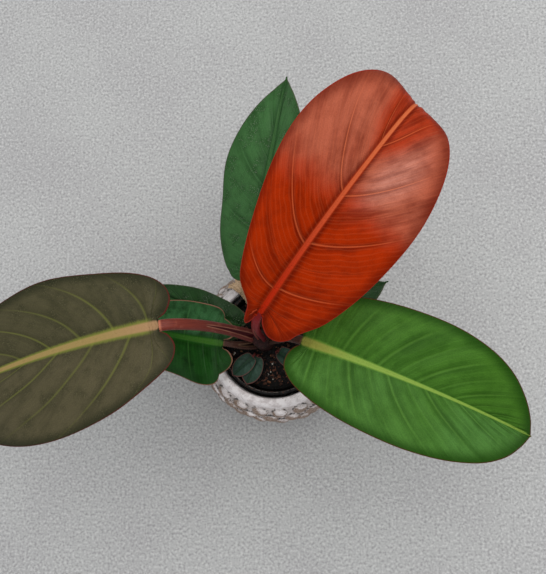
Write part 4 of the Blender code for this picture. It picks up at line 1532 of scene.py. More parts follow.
@dataclass(frozen=True)
class CeramicPot:
    """Round pot with staggered rows of knobs and a plain rounded rim."""

    finish: CeramicFinish = CeramicFinish()
    height: float = 0.120
    mouth_radius: float = 0.0625
    rim_radius: float = 0.0735
    shoulder_height: float = 0.108
    belly_radius: float = 0.0865
    belly_height: float = 0.058
    foot_radius: float = 0.066
    floor_thickness: float = 0.008
    inner_floor_radius: float = 0.057
    inner_fillet: float = 0.012
    mouth_draft: float = 0.0006
    mouth_round: float = 0.0040
    mouth_crest: float = 0.0014
    foot_chamfer: float = 0.0030
    foot_lift: float = 0.0015
    shoulder_power: float = 2.0
    taper_power: float = 2.2
    knobs_round: int = 22
    knob_rows: int = 6
    knob_height: float = 0.0054
    knob_half_width: float = 0.41
    knob_half_row: float = 0.50
    knob_phase: float = 0.773
    knob_columns: int = 16
    knob_steps: int = 15
    rim_steps: int = 14
    inner_steps: int = 12
    swell: float = 0.00025
    swell_lengths: Pair = (0.010, 0.030)
    seed: int = 5

    # How much the knobs differ in size and place, and how far off the nearest one can be
    SIZE_CHANGE = (-0.06, 0.05)
    SHIFT_MOST = 0.05
    SHIFT_SHARE = 0.4
    FAR_RING = 2.0

    def wall_radius(self, height: Array) -> Array:
        """Radius of the outer wall between its knobs.

        Args:
            height: heights above the base.

        Returns:
            The radii.
        """
        rise = self.shoulder_height - self.belly_height
        above = np.clip((height - self.belly_height) / rise, 0.0, 1.0)
        below = np.clip((self.belly_height - height) / self.belly_height, 0.0, 1.0)
        narrowing = (self.belly_radius - self.rim_radius) * above**self.shoulder_power
        narrowing = narrowing + (self.belly_radius - self.foot_radius) * below**self.taper_power
        return self.belly_radius - narrowing

    def knobs(self, angle: Array, row_place: Array) -> dict[str, Array]:
        """The knobs' relief and what a place's colour needs.

        Args:
            angle: angles about Z in radians.
            row_place: how many rows down from the shoulder.

        Returns:
            Place on the nearest knob: outwards (1 at its edge), down and along, and its tone.
        """
        draw = np.random.default_rng(self.seed)
        count = (self.knob_rows, self.knobs_round)
        size = 1.0 + draw.uniform(*self.SIZE_CHANGE, count)
        shift = draw.uniform(-self.SHIFT_MOST, self.SHIFT_MOST, count)
        tone = draw.uniform(0.0, 1.0, count)
        best = {key: np.zeros_like(angle) for key in ("drop", "lean", "tone")}
        best["ring"] = np.full_like(angle, self.FAR_RING)
        for step in (0, -1, 1):
            row = np.floor(row_place).astype(int) + step
            inside = (row >= 0) & (row < self.knob_rows)
            row = np.clip(row, 0, self.knob_rows - 1)
            turns = angle / TAU * self.knobs_round - self.knob_phase - 0.5 * (row % 2)
            index = np.round(turns).astype(int) % self.knobs_round
            across = turns - np.round(turns) - shift[row, index] * self.SHIFT_SHARE
            across = across / self.knob_half_width / size[row, index]
            along = (row_place - row - 0.5) / self.knob_half_row / size[row, index]
            ring = np.hypot(across, along)
            better = inside & (ring < best["ring"])
            found = {"ring": ring, "drop": along, "lean": across, "tone": tone[row, index]}
            for key, numbers in found.items():
                best[key] = np.where(better, numbers, best[key])
        return best

    def profile(self) -> list[Pair]:
        """The pot's outline.

        Returns:
            Points from the inner floor's centre, over the rim, down the wall to the base's centre.
        """
        flat = (self.inner_floor_radius - self.inner_fillet * 0.5, self.floor_thickness)
        inner_foot = (self.mouth_radius - self.mouth_draft, self.floor_thickness + self.inner_fillet)
        inner_top = (self.mouth_radius, self.height - self.mouth_round)
        crest = (self.mouth_radius + self.mouth_crest, self.height)
        points = [(0.0, self.floor_thickness), flat, *quarter(flat, inner_foot, 6)]
        for index in range(1, self.inner_steps + 1):
            part = index / self.inner_steps
            points.append(tuple(low + (high - low) * part for low, high in zip(inner_foot, inner_top)))
        points += quarter(inner_top, crest, 6, upright=True)
        points += quarter(crest, (self.rim_radius, self.shoulder_height), self.rim_steps)[:-1]
        steps = self.knob_rows * self.knob_steps
        for index in range(steps + 1):
            height = max(self.shoulder_height * (1.0 - index / steps), self.foot_lift)
            points.append((float(self.wall_radius(np.array(height))), height))
        points.append((self.foot_radius - self.foot_chamfer * 0.3, self.foot_lift * 0.4))
        points.append((self.foot_radius - self.foot_chamfer, 0.0))
        points.append((0.0, 0.0))
        return points

    def build(self) -> None:
        """Turn the pot from its profile, raise its knobs and dress it."""
        bm = spun(self.profile(), self.knobs_round * self.knob_columns)
        points = places(bm)
        radius = np.hypot(points[:, 0], points[:, 1])
        height = points[:, 2]
        wall = (radius > self.foot_radius - NEARLY) & (height > NEARLY)
        wall &= height < self.shoulder_height - NEARLY
        angle = np.arctan2(points[:, 1], points[:, 0]) % TAU
        row_place = (self.shoulder_height - height) / self.shoulder_height * self.knob_rows
        knobs = self.knobs(angle, row_place)
        along = angle * self.belly_radius
        uneven = swells(along, height, self.seed, *self.swell_lengths) * self.swell
        relief = np.sqrt(np.maximum(1.0 - knobs["ring"] ** 2, 0.0))
        grown = radius + relief * self.knob_height + uneven
        factor = np.where(wall, grown / np.maximum(radius, WELD), 1.0)
        points[:, :2] *= factor[:, None]
        move_to(bm, points)
        bm.normal_update()
        # How far each vertex faces up, which the clay's colour turns into painted shade and light on
        # the knobs
        knobs["facing"] = np.array([vertex.normal.z for vertex in bm.verts])
        knobs["on_wall"] = wall.astype(float)
        piece = finish_piece(bm, "knobbed_clay_pot", (self.finish.build(),), knobs)
        register(piece, "ceramic", "outer_pot")


@dataclass(frozen=True)
class PlasticFinish:
    """Satin black plastic with dust, faint turning marks and a painted highlight line on its lip's
    ridge.
    """

    black: Colour = tint(4, 4, 4)
    dust: Stain = Stain(Grain(140.0, 5.0, 0.65), tint(52, 48, 46), (0.62, 0.84), 0.4)
    marks: Stain = Stain(Grain(210.0, 3.0, 0.6, (1.0, 1.0, 9.0)), tint(18, 17, 17), (0.5, 0.75), 0.5)
    ridge_highlight: Colour = tint(128, 118, 112)
    gloss: float = 0.12
    relief: float = 0.00012

    # The painted highlight line on the lip's ridge: its inner and outer edge, the height that it
    # starts at, and where it is broken
    RIDGE_INNER = (0.0560, 0.0563)
    RIDGE_OUTER = (0.0571, 0.0568)
    RIDGE_HEIGHT = (0.110, 0.112)
    RIDGE_HIGHLIGHT_BREAKS = (0.35, 0.60)
    ROUGH_DUST = (0.4, 0.75)

    def build(self) -> Material:
        """Join dust, marks and the painted highlight line on the ridge.

        Returns:
            The material.
        """
        g = Graph("nursery_plastic")
        place = g.place()
        dust, marks = (g.noise(place, stain.pattern) for stain in (self.dust, self.marks))
        colour = g.stain(g.stain(self.black, self.dust, dust), self.marks, marks)
        x, y, z = (g.part(place, axis) for axis in range(3))
        radius = g.math("SQRT", x * x + y * y)
        # Painted highlight along the ridge of the lip, broken by the dust noise
        ridge = g.step(radius, *self.RIDGE_INNER) * g.step(radius, *self.RIDGE_OUTER)
        ridge = ridge * g.step(z, *self.RIDGE_HEIGHT) * g.step(dust, *self.RIDGE_HIGHLIGHT_BREAKS)
        colour = g.mix(colour, self.ridge_highlight, ridge * 0.8)
        rough = 0.30 + 0.25 * g.step(dust, *self.ROUGH_DUST)
        return g.finish(colour, rough, g.bump(marks, self.relief), Specular_IOR_Level=self.gloss)


@dataclass(frozen=True)
class NurseryPot:
    """Thin black plastic pot with a turned-over lip and drain holes."""

    finish: PlasticFinish = PlasticFinish()
    floor: float = 0.0083
    top: float = 0.1130
    lip_radius: float = 0.0600
    lip_width: float = 0.0045
    lip_depth: float = 0.0080
    wall: float = 0.0012
    base_radius: float = 0.0440
    lip_round: float = 0.0010
    lip_play: float = 0.0002
    lip_steps: int = 5
    skirt: float = 0.0012
    draft: float = 0.0004
    lip_top: float = 0.0030
    foot_chamfer: float = 0.0020
    foot_rise: float = 0.004
    wall_steps: int = 14
    steps: int = 160
    drains: int = 6
    drain_radius: float = 0.0045
    drain_ring: float = 0.0290
    drain_depth: float = 0.0060
    drain_sides: int = 24

    def inner_radius(self, height: float) -> float:
        """Inner radius of the tapered wall.

        Args:
            height: height above the ceramic pot's base.

        Returns:
            The radius.
        """
        share = (height - self.floor) / (self.top - self.floor)
        inner_top = self.lip_radius - self.lip_width
        inner_base = self.base_radius - self.wall
        return inner_base + (inner_top - inner_base) * share

    def profile(self) -> list[Pair]:
        """The pot's outline.

        Returns:
            Points from the floor's centre, up the inside, over the lip and down to the base.
        """
        floor_top = self.floor + self.wall
        low = self.top - self.lip_depth
        inner = self.lip_radius - self.lip_width + self.lip_play
        skirt = self.lip_radius - self.draft - self.skirt
        bend = self.top - 2 * self.lip_round
        shoulder = self.top - self.lip_top - self.lip_round
        lip_edge = (self.lip_radius - self.lip_round, self.top)
        lip_side = (self.lip_radius, self.top - self.lip_round)
        heights = np.linspace(floor_top + self.foot_rise, bend, self.wall_steps)
        return [
            (0.0, floor_top),
            (self.inner_radius(floor_top), floor_top),
            *((self.inner_radius(height), height) for height in heights),
            *quarter((inner, bend), (inner + self.lip_round, self.top), self.lip_steps, upright=True),
            lip_edge,
            *quarter(lip_edge, lip_side, self.lip_steps),
            (self.lip_radius - self.draft, low),
            (skirt, low),
            (skirt - self.draft, self.top - self.lip_top),
            (self.inner_radius(shoulder) + self.wall, shoulder),
            (self.base_radius, self.floor + self.foot_chamfer),
            (self.base_radius - self.foot_chamfer, self.floor),
            (0.0, self.floor),
        ]

    def build_cutter(self) -> Piece:
        """Upright cylinders where the drain holes go.

        Returns:
            The cylinders, as one object.
        """
        bm = bmesh.new()
        for index in range(self.drains):
            angle = TAU * (index + 0.5) / self.drains
            spot = (self.drain_ring * math.cos(angle), self.drain_ring * math.sin(angle), self.floor)
            bmesh.ops.create_cone(
                bm, cap_ends=True, segments=self.drain_sides, radius1=self.drain_radius,
                radius2=self.drain_radius, depth=self.drain_depth, matrix=Matrix.Translation(spot),
            )
        return finish_piece(bm, "drain_cutter", ())

    def build(self) -> None:
        """Turn the pot from its profile, cut its drain holes through and dress it."""
        material = self.finish.build()
        piece = finish_piece(spun(self.profile(), self.steps), "black_nursery_pot", (material,))
        cutter = self.build_cutter()
        cut = piece.modifiers.new("drains", "BOOLEAN")
        cut.operation = "DIFFERENCE"
        cut.solver = "EXACT"
        cut.object = cutter
        bpy.context.view_layer.update()
        graph = bpy.context.evaluated_depsgraph_get()
        plain_mesh = piece.data
        piece.data = bpy.data.meshes.new_from_object(piece.evaluated_get(graph))
        piece.modifiers.clear()
        bpy.data.meshes.remove(plain_mesh)
        bpy.data.objects.remove(cutter, do_unlink=True)
        register(piece, "black_plastic", "nursery_pot")


SOIL_MIX = LayeredFinish(
    "potting_mix", base=tint(10, 7, 6), roughness=0.9, relief=0.0012,
    stains=(
        Stain(Grain(420.0, 5.0, 0.7), tint(44, 28, 21), (0.52, 0.76), 0.8),
        Stain(Grain(90.0, 3.0, 0.6), tint(6, 4, 4), (0.42, 0.66), 0.8),
    ),
)
BARK = LayeredFinish(
    "bark_chips", base=tint(10, 6, 5), rough_stain=2, relief_stain=2, relief=0.0005,
    stains=(
        Stain("tone", tint(112, 66, 46), (0.58, 1.0)),
        Stain("tone", tint(136, 86, 54), (0.92, 0.98), 0.8),
        Stain(Grain(520.0, 4.0, 0.65, (1.0, 1.6, 3.0)), tint(14, 10, 8), (0.45, 0.7), 0.7),
    ),
)
WHITE_GRAINS = LayeredFinish(
    "white_grains", base=tint(214, 208, 196), relief=0.0003,
    stains=(Stain(Grain(900.0, 3.0, 0.6), tint(150, 140, 122), (0.45, 0.7)),),
)
DRY_PAPER = LayeredFinish(
    "dry_paper", base=tint(220, 188, 150), uv="strip", relief=0.0004,
    stains=(
        Stain(Grain(2.0, 4.0, 0.65, (5.0, 16.0, 1.0)), tint(150, 108, 74), (0.46, 0.70)),
        Stain(Grain(1.0, 3.0, 0.5, (9.0, 3.0, 1.0)), tint(84, 58, 44), (0.56, 0.74), 0.7),
    ),
)
PALE_FLOOR = LayeredFinish(
    "pale_floor", base=tint(178, 178, 177), rough_stain=1, relief_stain=1, relief=0.0004,
    gloss=0.2,
    stains=(
        Stain(Grain(7.0, 3.0, 0.55), tint(171, 170, 170), (0.35, 0.7)),
        Stain(Grain(330.0, 4.0, 0.6), tint(138, 137, 137), (0.50, 0.66), 0.7),
        Stain(Grain(330.0, 4.0, 0.6), tint(202, 202, 200), (0.48, 0.36), 0.7),
    ),
)


@dataclass(frozen=True)
class Soil:
    """Dark potting mix with bark chips and a few white grains."""

    pot: NurseryPot
    top: float = 0.1010
    fall: float = 0.0025
    middle: float = 0.0550
    gap: float = 0.0003
    lumps: int = 120
    lump_radius: Pair = (0.0035, 0.0075)
    lump_height: Pair = (0.0008, 0.0032)
    lump_reach: float = 0.95
    crumb_lengths: Pair = (0.0016, 0.0050)
    crumb_height: float = 0.00045
    edge_width: float = 0.004
    seed: int = 11
    rings: int = 62
    steps: int = 190
    chips: int = 1100
    chip_reach: float = 0.94
    chip_length: Pair = (0.0012, 0.0048)
    chip_width: Pair = (0.30, 0.65)
    chip_height: Pair = (0.15, 0.40)
    chip_least: float = 0.0004
    chip_lean: float = 0.35
    chip_tip: float = 0.30
    chip_lift: float = 0.25
    chip_bevel: float = 0.28
    chip_batch: int = 60
    lip_crumbs: int = 420
    lip_crumbs_from: float = 0.0018
    crumb_share: float = 0.4
    grains: int = 26
    grain_reach: float = 0.90
    grain_radius: Pair = (0.0007, 0.0015)
    grain_uneven: Pair = (0.7, 1.2)
    grain_lift: float = 0.8

    def radius_at(self, height: float) -> float:
        """Radius of the soil, just clear of the pot's wall."""
        return self.pot.inner_radius(height) - 2 * self.gap

    @property
    def radius(self) -> float:
        """Radius of the soil's top."""
        return self.radius_at(self.top)

    def lump_list(self) -> Array:
        """Draw the lumps, as the CAD source does.

        Returns:
            Place, radius and height of every lump.
        """
        draw = np.random.default_rng(self.seed)
        lumps = []
        for _ in range(self.lumps):
            distance = self.radius * math.sqrt(draw.random()) * self.lump_reach
            angle = TAU * draw.random()
            lumps.append((
                distance * math.cos(angle), distance * math.sin(angle),
                draw.uniform(*self.lump_radius), draw.uniform(*self.lump_height),
            ))
        return np.array(lumps)

    def surface(self, x: Array, y: Array) -> Array:
        """Height of the soil: a low mound with lumps and fine crumbs.

        Args:
            x: places along X.
            y: places along Y.

        Returns:
            The heights.
        """
        distance = np.hypot(x, y)
        rise = np.zeros_like(x)
        for lump_x, lump_y, radius, height in self.lump_list():
            reach = 1.0 - ((x - lump_x) ** 2 + (y - lump_y) ** 2) / radius**2
            rise = np.maximum(rise, height * np.maximum(reach, 0.0))
        crumbs = swells(x, y, self.seed, *self.crumb_lengths) * self.crumb_height
        edge = smooth_step((self.radius - distance) / self.edge_width)
        return self.top - self.fall * (distance / self.radius) ** 2 + (rise + crumbs) * edge

    def build(self) -> None:
        """The body of soil, with its chips and grains."""
        bottom = self.pot.floor + self.pot.wall + self.gap
        points = [(self.radius * ring / self.rings, self.top) for ring in range(self.rings + 1)]
        points += [(self.radius_at(height), height) for height in (self.middle, bottom)]
        bm = spun([*points, (0.0, bottom)], self.steps)
        spots = places(bm)
        heights = self.surface(spots[:, 0], spots[:, 1])
        on_top = spots[:, 2] > self.top - NEARLY
        spots[:, 2] = np.where(on_top, heights, spots[:, 2])
        move_to(bm, spots)
        register(finish_piece(bm, "soil_mound", (SOIL_MIX.build(),)), "soil", "soil")
        self.build_chips()
        self.build_grains()

    def scatter(self, count: int, seed: int, reach: float) -> tuple[Array, np.random.Generator]:
        """Random places on the soil.

        Args:
            count: how many.
            seed: which places are drawn.
            reach: share of the soil's radius that they keep within.

        Returns:
            The places, and the generator for what else is drawn.
        """
        draw = np.random.default_rng(seed)
        distance = self.radius * np.sqrt(draw.random(count)) * reach
        angle = TAU * draw.random(count)
        x, y = distance * np.cos(angle), distance * np.sin(angle)
        return np.stack([x, y, self.surface(x, y)], -1), draw

    def build_chips(self) -> None:
        """Bark chips lying half sunk in the soil, and crumbs of bark on the pot's lip."""
        spots, draw = self.scatter(self.chips, self.seed + 1, self.chip_reach)
        turn = draw.uniform(0.0, TAU, self.lip_crumbs)
        inward = draw.uniform(self.lip_crumbs_from, self.pot.lip_width, self.lip_crumbs)
        radius = self.pot.lip_radius - inward
        height = np.full(self.lip_crumbs, self.pot.top)
        on_lip = np.stack([radius * np.cos(turn), radius * np.sin(turn), height], -1)
        lengths = np.append(
            draw.uniform(*self.chip_length, self.chips),
            draw.uniform(*self.chip_length, self.lip_crumbs) * self.crumb_share,
        )
        chips = list(zip(np.vstack([spots, on_lip]), lengths, strict=True))
        bm = bmesh.new()
        for first in range(0, len(chips), self.chip_batch):
            batch = bmesh.new()
            for spot, length in chips[first:first + self.chip_batch]:
                self.add_chip(batch, spot, length, draw)
            made = bpy.data.meshes.new("chip_batch")
            batch.to_mesh(made)
            batch.free()
            bm.from_mesh(made)
            bpy.data.meshes.remove(made)
        tones = {"tone": self.chip_tones(bm, draw)}
        piece = finish_piece(bm, "soil_bark_chips", (BARK.build(),), tones)
        register(piece, "soil")

    def add_chip(
        self, bm: Mesh, spot: Array, length: float, draw: np.random.Generator
    ) -> None:
        """Add one chip with worn edges to a mesh.

        Args:
            bm: the mesh.
            spot: where the chip lies.
            length: its longest side.
            draw: where its other sides and its turn come from.
        """
        width = length * draw.uniform(*self.chip_width)
        height = draw.uniform(*self.chip_height) * length + self.chip_least
        turn = Matrix.Rotation(draw.uniform(0.0, TAU), 4, "Z")
        lean = Matrix.Rotation(draw.normal(0.0, self.chip_lean), 4, "X")
        tip = Matrix.Rotation(draw.normal(0.0, self.chip_tip), 4, "Y")
        shape = Matrix.Diagonal((length, width, height, 1.0))
        lift = Matrix.Translation(Vector(spot) + Vector((0.0, 0.0, height * self.chip_lift)))
        made = bmesh.ops.create_cube(bm, size=1.0, matrix=lift @ turn @ lean @ tip @ shape)
        edges = {edge for vertex in made["verts"] for edge in vertex.link_edges}
        bmesh.ops.bevel(
            bm, geom=list(edges), offset=height * self.chip_bevel, affect="EDGES", segments=1,
            profile=0.5, material=-1,
        )

    @staticmethod
    def chip_tones(bm: Mesh, draw: np.random.Generator) -> Array:
        """One tone for each loose chip of a mesh.

        Args:
            bm: the mesh of all chips.
            draw: where the tones come from.

        Returns:
            A tone for each vertex.
        """
        bm.verts.index_update()
        tones = np.full(len(bm.verts), -1.0)
        for start in bm.verts:
            if tones[start.index] >= 0.0:
                continue
            tone, open_ends = draw.random(), [start]
            while open_ends:
                vertex = open_ends.pop()
                if tones[vertex.index] >= 0.0:
                    continue
                tones[vertex.index] = tone
                open_ends += [edge.other_vert(vertex) for edge in vertex.link_edges]
        return tones

    def build_grains(self) -> None:
        """White volcanic grains on the soil."""
        spots, draw = self.scatter(self.grains, self.seed + 2, self.grain_reach)
        bm = bmesh.new()
        for spot in spots:
            size = draw.uniform(*self.grain_radius)
            shape = Matrix.Diagonal((*(size * draw.uniform(*self.grain_uneven, 3)), 1.0))
            lift = Matrix.Translation(spot + np.array((0.0, 0.0, size * self.grain_lift)))
            bmesh.ops.create_icosphere(bm, subdivisions=1, radius=1.0, matrix=lift @ shape)
        register(finish_piece(bm, "soil_white_grains", (WHITE_GRAINS.build(),)), "soil")


@dataclass(frozen=True)
class StemFinish(LayeredFinish):
    """Brown, fibrous skin with olive patches and a dark ring at each old leaf."""

    ring_start: float = 0.1010
    ring_pitch: float = 0.0090

    def pattern(self, g: Graph, place: Value, pattern: Grain | str) -> Value:
        """A noise over the stem, or its distance from the rings."""
        if pattern != "rings":
            return super().pattern(g, place, pattern)
        rings = (g.part(place, 2) - self.ring_start) * (1.0 / self.ring_pitch)
        return g.math("PINGPONG", rings, 0.5)


@dataclass(frozen=True)
class Stem:
    """Short stem with the rings that old leaves leave."""

    finish: StemFinish = StemFinish(
        "stem_skin", base=tint(36, 18, 18), roughness=0.52, rough_change=0.2, rough_stain=1,
        relief=0.0006, gloss=0.15,
        stains=(
            Stain(Grain(700.0, 4.0, 0.65, (1.0, 1.0, 0.12)), tint(66, 36, 32), (0.45, 0.7)),
            Stain(Grain(120.0, 4.0, 0.6), tint(46, 46, 24), (0.54, 0.74), 0.5),
            Stain("rings", tint(28, 18, 14), (0.10, 0.03), 0.8),
        ),
    )
    x: float = -0.0100
    y: float = -0.0010
    radius: float = 0.0110
    top: float = 0.1500
    soil_top: float = 0.1010
    depth: float = 0.0300
    ring_swell: float = 0.0008
    ring_power: float = 1.6
    taper: float = 0.10
    round_off: float = 0.0040
    round_steps: int = 7
    swell: float = 0.00045
    swell_lengths: Pair = (0.004, 0.014)
    swell_from: float = 0.004
    profile_steps: int = 90
    steps: int = 72
    seed: int = 21

    def radius_at(self, height: float) -> float:
        """Radius with the swollen rings.

        Args:
            height: height above the ceramic pot's base.

        Returns:
            The radius.
        """
        above = height - self.soil_top
        ring = 0.5 + 0.5 * math.cos(TAU * above / self.finish.ring_pitch)
        taper = 1.0 - self.taper * above / (self.top - self.soil_top)
        return self.radius * taper - self.ring_swell + self.ring_swell * ring**self.ring_power

    def build(self) -> None:
        """Turn the stem from its profile, make it uneven and dress it."""
        bottom = self.soil_top - self.depth
        start = self.top - self.round_off * 0.5
        side = self.radius_at(self.top)
        points = [(0.0, self.top)]
        points += quarter((side - self.round_off, self.top), (side, start), self.round_steps)
        for index in range(1, self.profile_steps + 1):
            height = start + (bottom - start) * index / self.profile_steps
            points.append((self.radius_at(max(height, self.soil_top)), height))
        points.append((0.0, bottom))
        bm = spun(points, self.steps)
        spots = places(bm)
        around = np.arctan2(spots[:, 1], spots[:, 0]) * self.radius
        uneven = swells(around, spots[:, 2], self.seed, *self.swell_lengths) * self.swell
        off_axis = np.hypot(spots[:, 0], spots[:, 1]) > self.swell_from
        scale = 1.0 + np.where(off_axis, uneven / self.radius, 0.0)
        spots[:, :2] = spots[:, :2] * scale[:, None] + (self.x, self.y)
        move_to(bm, spots)
        register(finish_piece(bm, "philodendron_stem", (self.finish.build(),)), "stem", "stem")


@dataclass(frozen=True)
class DrySheath:
    """Papery dried sheath lying over the nursery pot's lip and the ceramic rim."""

    heading: float = 120.5
    width: float = 0.0068
    curl: float = 0.0010
    lift: float = 0.0007
    taper: float = 0.35
    thickness: float = 0.0005
    line: tuple[Pair, ...] = (
        (0.0450, 0.1042), (0.0500, 0.1062), (0.0535, 0.1105), (0.0568, 0.1136), (0.0603, 0.1160),
        (0.0632, 0.1196), (0.0655, 0.1205), (0.0688, 0.1192), (0.0720, 0.1160), (0.0742, 0.1128),
        (0.0780, 0.1098), (0.0812, 0.1050),
    )
    left_spread: Pair = (1.8, 7.0)
    tear: float = 0.15
    fray: float = 0.22
    end_round: float = 0.06
    end_width: float = 0.35
    crease: float = 0.00022
    crease_turns: Pair = (17.0, 3.0)
    rows: int = 110
    columns: int = 30
    seed: int = 31

    def build(self) -> None:
        """Lay a curled strip with frayed sides and lengthwise creases, and dress it."""
        share = np.linspace(0.0, 1.0, self.rows + 1)[:, None]
        across = np.linspace(-1.0, 1.0, self.columns + 1)[None, :]
        draw = np.random.default_rng(self.seed)
        torn = 1.0 - self.tear * draw.random((1, self.columns + 1))
        flat = spline(np.array(self.line), (share * torn).ravel())
        flat = flat.reshape(self.rows + 1, self.columns + 1, 2)
        slope = np.gradient(flat, axis=0)
        slope = slope / np.linalg.norm(slope, axis=-1)[..., None]
        half = self.width / 2 * (1.0 - self.taper * share)
        half = half * smooth_step(share / self.end_round + self.end_width)
        fray = 1.0 - self.fray * draw.random((self.rows + 1, 1)) * np.abs(across) ** 3
        wide = self.left_spread[0] + (self.left_spread[1] - self.left_spread[0]) * share**3
        spread = half * across * fray * np.where(across > 0.0, wide, 1.0)
        creases = np.cos(across * self.crease_turns[0] + share * self.crease_turns[1])
        rise = self.curl * across**2 + self.lift + self.crease * creases
        turn = math.radians(self.heading) + spread / flat[..., 0]
        radius = flat[..., 0] - slope[..., 1] * rise
        height = flat[..., 1] + slope[..., 0] * rise
        points = np.stack([radius * np.cos(turn), radius * np.sin(turn), height], -1)
        bm, spots = sheet_grid(points)
        map_corners(bm, spots, {"strip": np.broadcast_arrays(share, across)})
        piece = finish_piece(bm, "dry_sheath_strip", (DRY_PAPER.build(),))
        solidify = piece.modifiers.new("thickness", "SOLIDIFY")
        solidify.thickness = self.thickness
        solidify.offset = 0.0
        register(piece, "dry_sheath", "dry_sheath")


# Studio


@dataclass(frozen=True)
class Panel:
    """A square light that faces the plant."""

    name: str
    place: Place
    size: float
    power: float
    colour: Colour = (1.0, 0.985, 0.96)
    target: Place = (0.0, 0.0, 0.15)

    def build(self) -> None:
        """Hang the light and turn it to the plant."""
        data = bpy.data.lights.new(self.name, "AREA")
        data.shape = "SQUARE"
        data.size = self.size
        data.energy = self.power
        data.color = self.colour
        panel = bpy.data.objects.new(self.name, data)
        bpy.context.scene.collection.objects.link(panel)
        aim = Vector(self.target) - Vector(self.place)
        turn = aim.to_track_quat("-Z", "Y").to_matrix().to_4x4()
        panel.matrix_world = Matrix.Translation(self.place) @ turn


@dataclass(frozen=True)
class Studio:
    """Pale floor, soft light from above and the camera of the photograph's view."""

    focal_pixels: float = 648.0
    frame_pixels: Pair = (546.0, 574.0)
    sensor: float = 36.0
    nadir: Pair = (320.0, 385.0)
    rim_pixel_y: float = 339.5
    rim_height: float = 0.120
    above_rim: float = 0.700
    floor_size: float = 4.0
    key: Panel = Panel("soft_key", place=(0.55, 0.75, 2.35), size=3.0, power=51.0)
    fill: Panel = Panel("soft_fill", place=(-0.45, -1.75, 1.60), size=1.8, power=5.0)
    sky: Colour = (0.93, 0.96, 1.0)
    sky_strength: float = 0.58

    def build_camera(self) -> None:
        """Camera that looks down past the pot, from the vanishing point of upright lines."""
        centre_x, centre_y = self.frame_pixels[0] / 2, self.frame_pixels[1] / 2
        down = Vector((self.nadir[0] - centre_x, centre_y - self.nadir[1], self.focal_pixels))
        down.normalize()
        right_z, up_z = -down.x, -down.y
        right_x = math.sqrt(1.0 - right_z**2)
        right = Vector((right_x, 0.0, right_z))
        up_x = -right_z * up_z / right_x
        up = Vector((up_x, math.sqrt(1.0 - up_z**2 - up_x**2), up_z))
        look = -right.cross(up)
        ray = look + up * (-(self.rim_pixel_y - centre_y) / self.focal_pixels)
        spot = Vector((0.0, 0.0, self.rim_height)) - ray * (self.above_rim / -ray.z)
        data = bpy.data.cameras.new("photo_view")
        data.sensor_width = self.sensor
        data.lens = self.sensor * self.focal_pixels / max(self.frame_pixels)
        camera = bpy.data.objects.new("photo_view", data)
        bpy.context.scene.collection.objects.link(camera)
        turn = Matrix((right, up, -look)).transposed().to_4x4()
        camera.matrix_world = Matrix.Translation(spot) @ turn
        bpy.context.scene.camera = camera

    def build_sky(self) -> None:
        """An even sky, shown in true colours."""
        world = bpy.data.worlds.new("studio_sky")
        world.use_nodes = True
        background = world.node_tree.nodes["Background"]
        background.inputs["Color"].default_value = (*self.sky, 1.0)
        background.inputs["Strength"].default_value = self.sky_strength
        bpy.context.scene.world = world
        bpy.context.scene.view_settings.view_transform = "Standard"
        bpy.context.scene.view_settings.look = "None"

    def build_floor(self) -> None:
        """A level floor at the pot's foot."""
        bm = bmesh.new()
        bmesh.ops.create_grid(bm, x_segments=1, y_segments=1, size=self.floor_size / 2)
        floor = finish_piece(bm, "studio_floor", (PALE_FLOOR.build(),))

    def build(self) -> None:
        """Floor, light and camera."""
        self.build_floor()
        self.key.build()
        self.fill.build()
        self.build_sky()
        self.build_camera()


# The plant's finishes and leaves

RED_STALK = PetioleFinish(
    name="red_stalk", slot="red_petiole", low=tint(84, 14, 20), high=tint(126, 10, 14),
    streak=tint(112, 20, 28), light=tint(150, 48, 52), groove=tint(50, 4, 8),
    rim=tint(150, 84, 66), joint=tint(176, 40, 24), sheath=0.6,
)
BROWN_STALK = PetioleFinish(
    name="brown_stalk", slot="brown_petiole", low=tint(98, 44, 38), high=tint(116, 50, 38),
    streak=tint(66, 22, 22), light=tint(162, 98, 78), groove=tint(58, 12, 18),
    rim=tint(150, 104, 84), joint=tint(206, 126, 98), sheath=0.55,
)
DARK_STALK = PetioleFinish(
    name="dark_stalk", slot="dark_petiole", low=tint(58, 36, 30), high=tint(70, 42, 32),
    streak=tint(36, 16, 16), light=tint(110, 80, 62), groove=tint(26, 9, 9),
    rim=tint(128, 100, 76), joint=tint(112, 84, 54), sheath=0.7,
)
YOUNG_STALK = PetioleFinish(
    name="young_stalk", slot="red_petiole", low=tint(96, 48, 44), high=tint(104, 44, 42),
    streak=tint(140, 80, 70), light=tint(140, 80, 70), groove=tint(60, 14, 14),
    rim=tint(120, 70, 60), joint=tint(100, 44, 40),
)
ORANGE_BLADE = BladeFinish(
    name="orange_leaf_skin", slot="orange_leaf", base=tint(160, 40, 0), shade=tint(88, 12, 0),
    flush=tint(170, 88, 64), vein=tint(212, 106, 62), rib=tint(180, 40, 12),
    rib_tip=tint(200, 102, 60), rib_edge=tint(144, 38, 6), margin=tint(150, 42, 28),
    under=tint(156, 58, 32), flush_and_sheen_left=(0.0, 0.95), flush_and_sheen_right=(0.0, 0.95),
    flush_and_sheen_from=(0.43, 0.60), length_mm=256.0, painted_sheen=tint(214, 156, 140), painted_sheen_strength=0.36,
    vein_strength=0.42, vein_width=0.040, vein_count=14.1, vein_start=0.64, vein_stagger=0.0,
    vein_contrast=0.42, fine_strength=0.08, streak_strength=0.42, band_strength=0.50,
    edge_shade=0.65, tip_clear=0.85, tip_from=(0.73, 0.80), painted_vein_shade_strength=0.50, mottle_shade=0.30,
    valley_shade=0.80, roughness=0.36, gloss=0.03, rib_turn=230.0, rib_glow=1.7, rib_reach=0.72,
    seed=1.3,
)
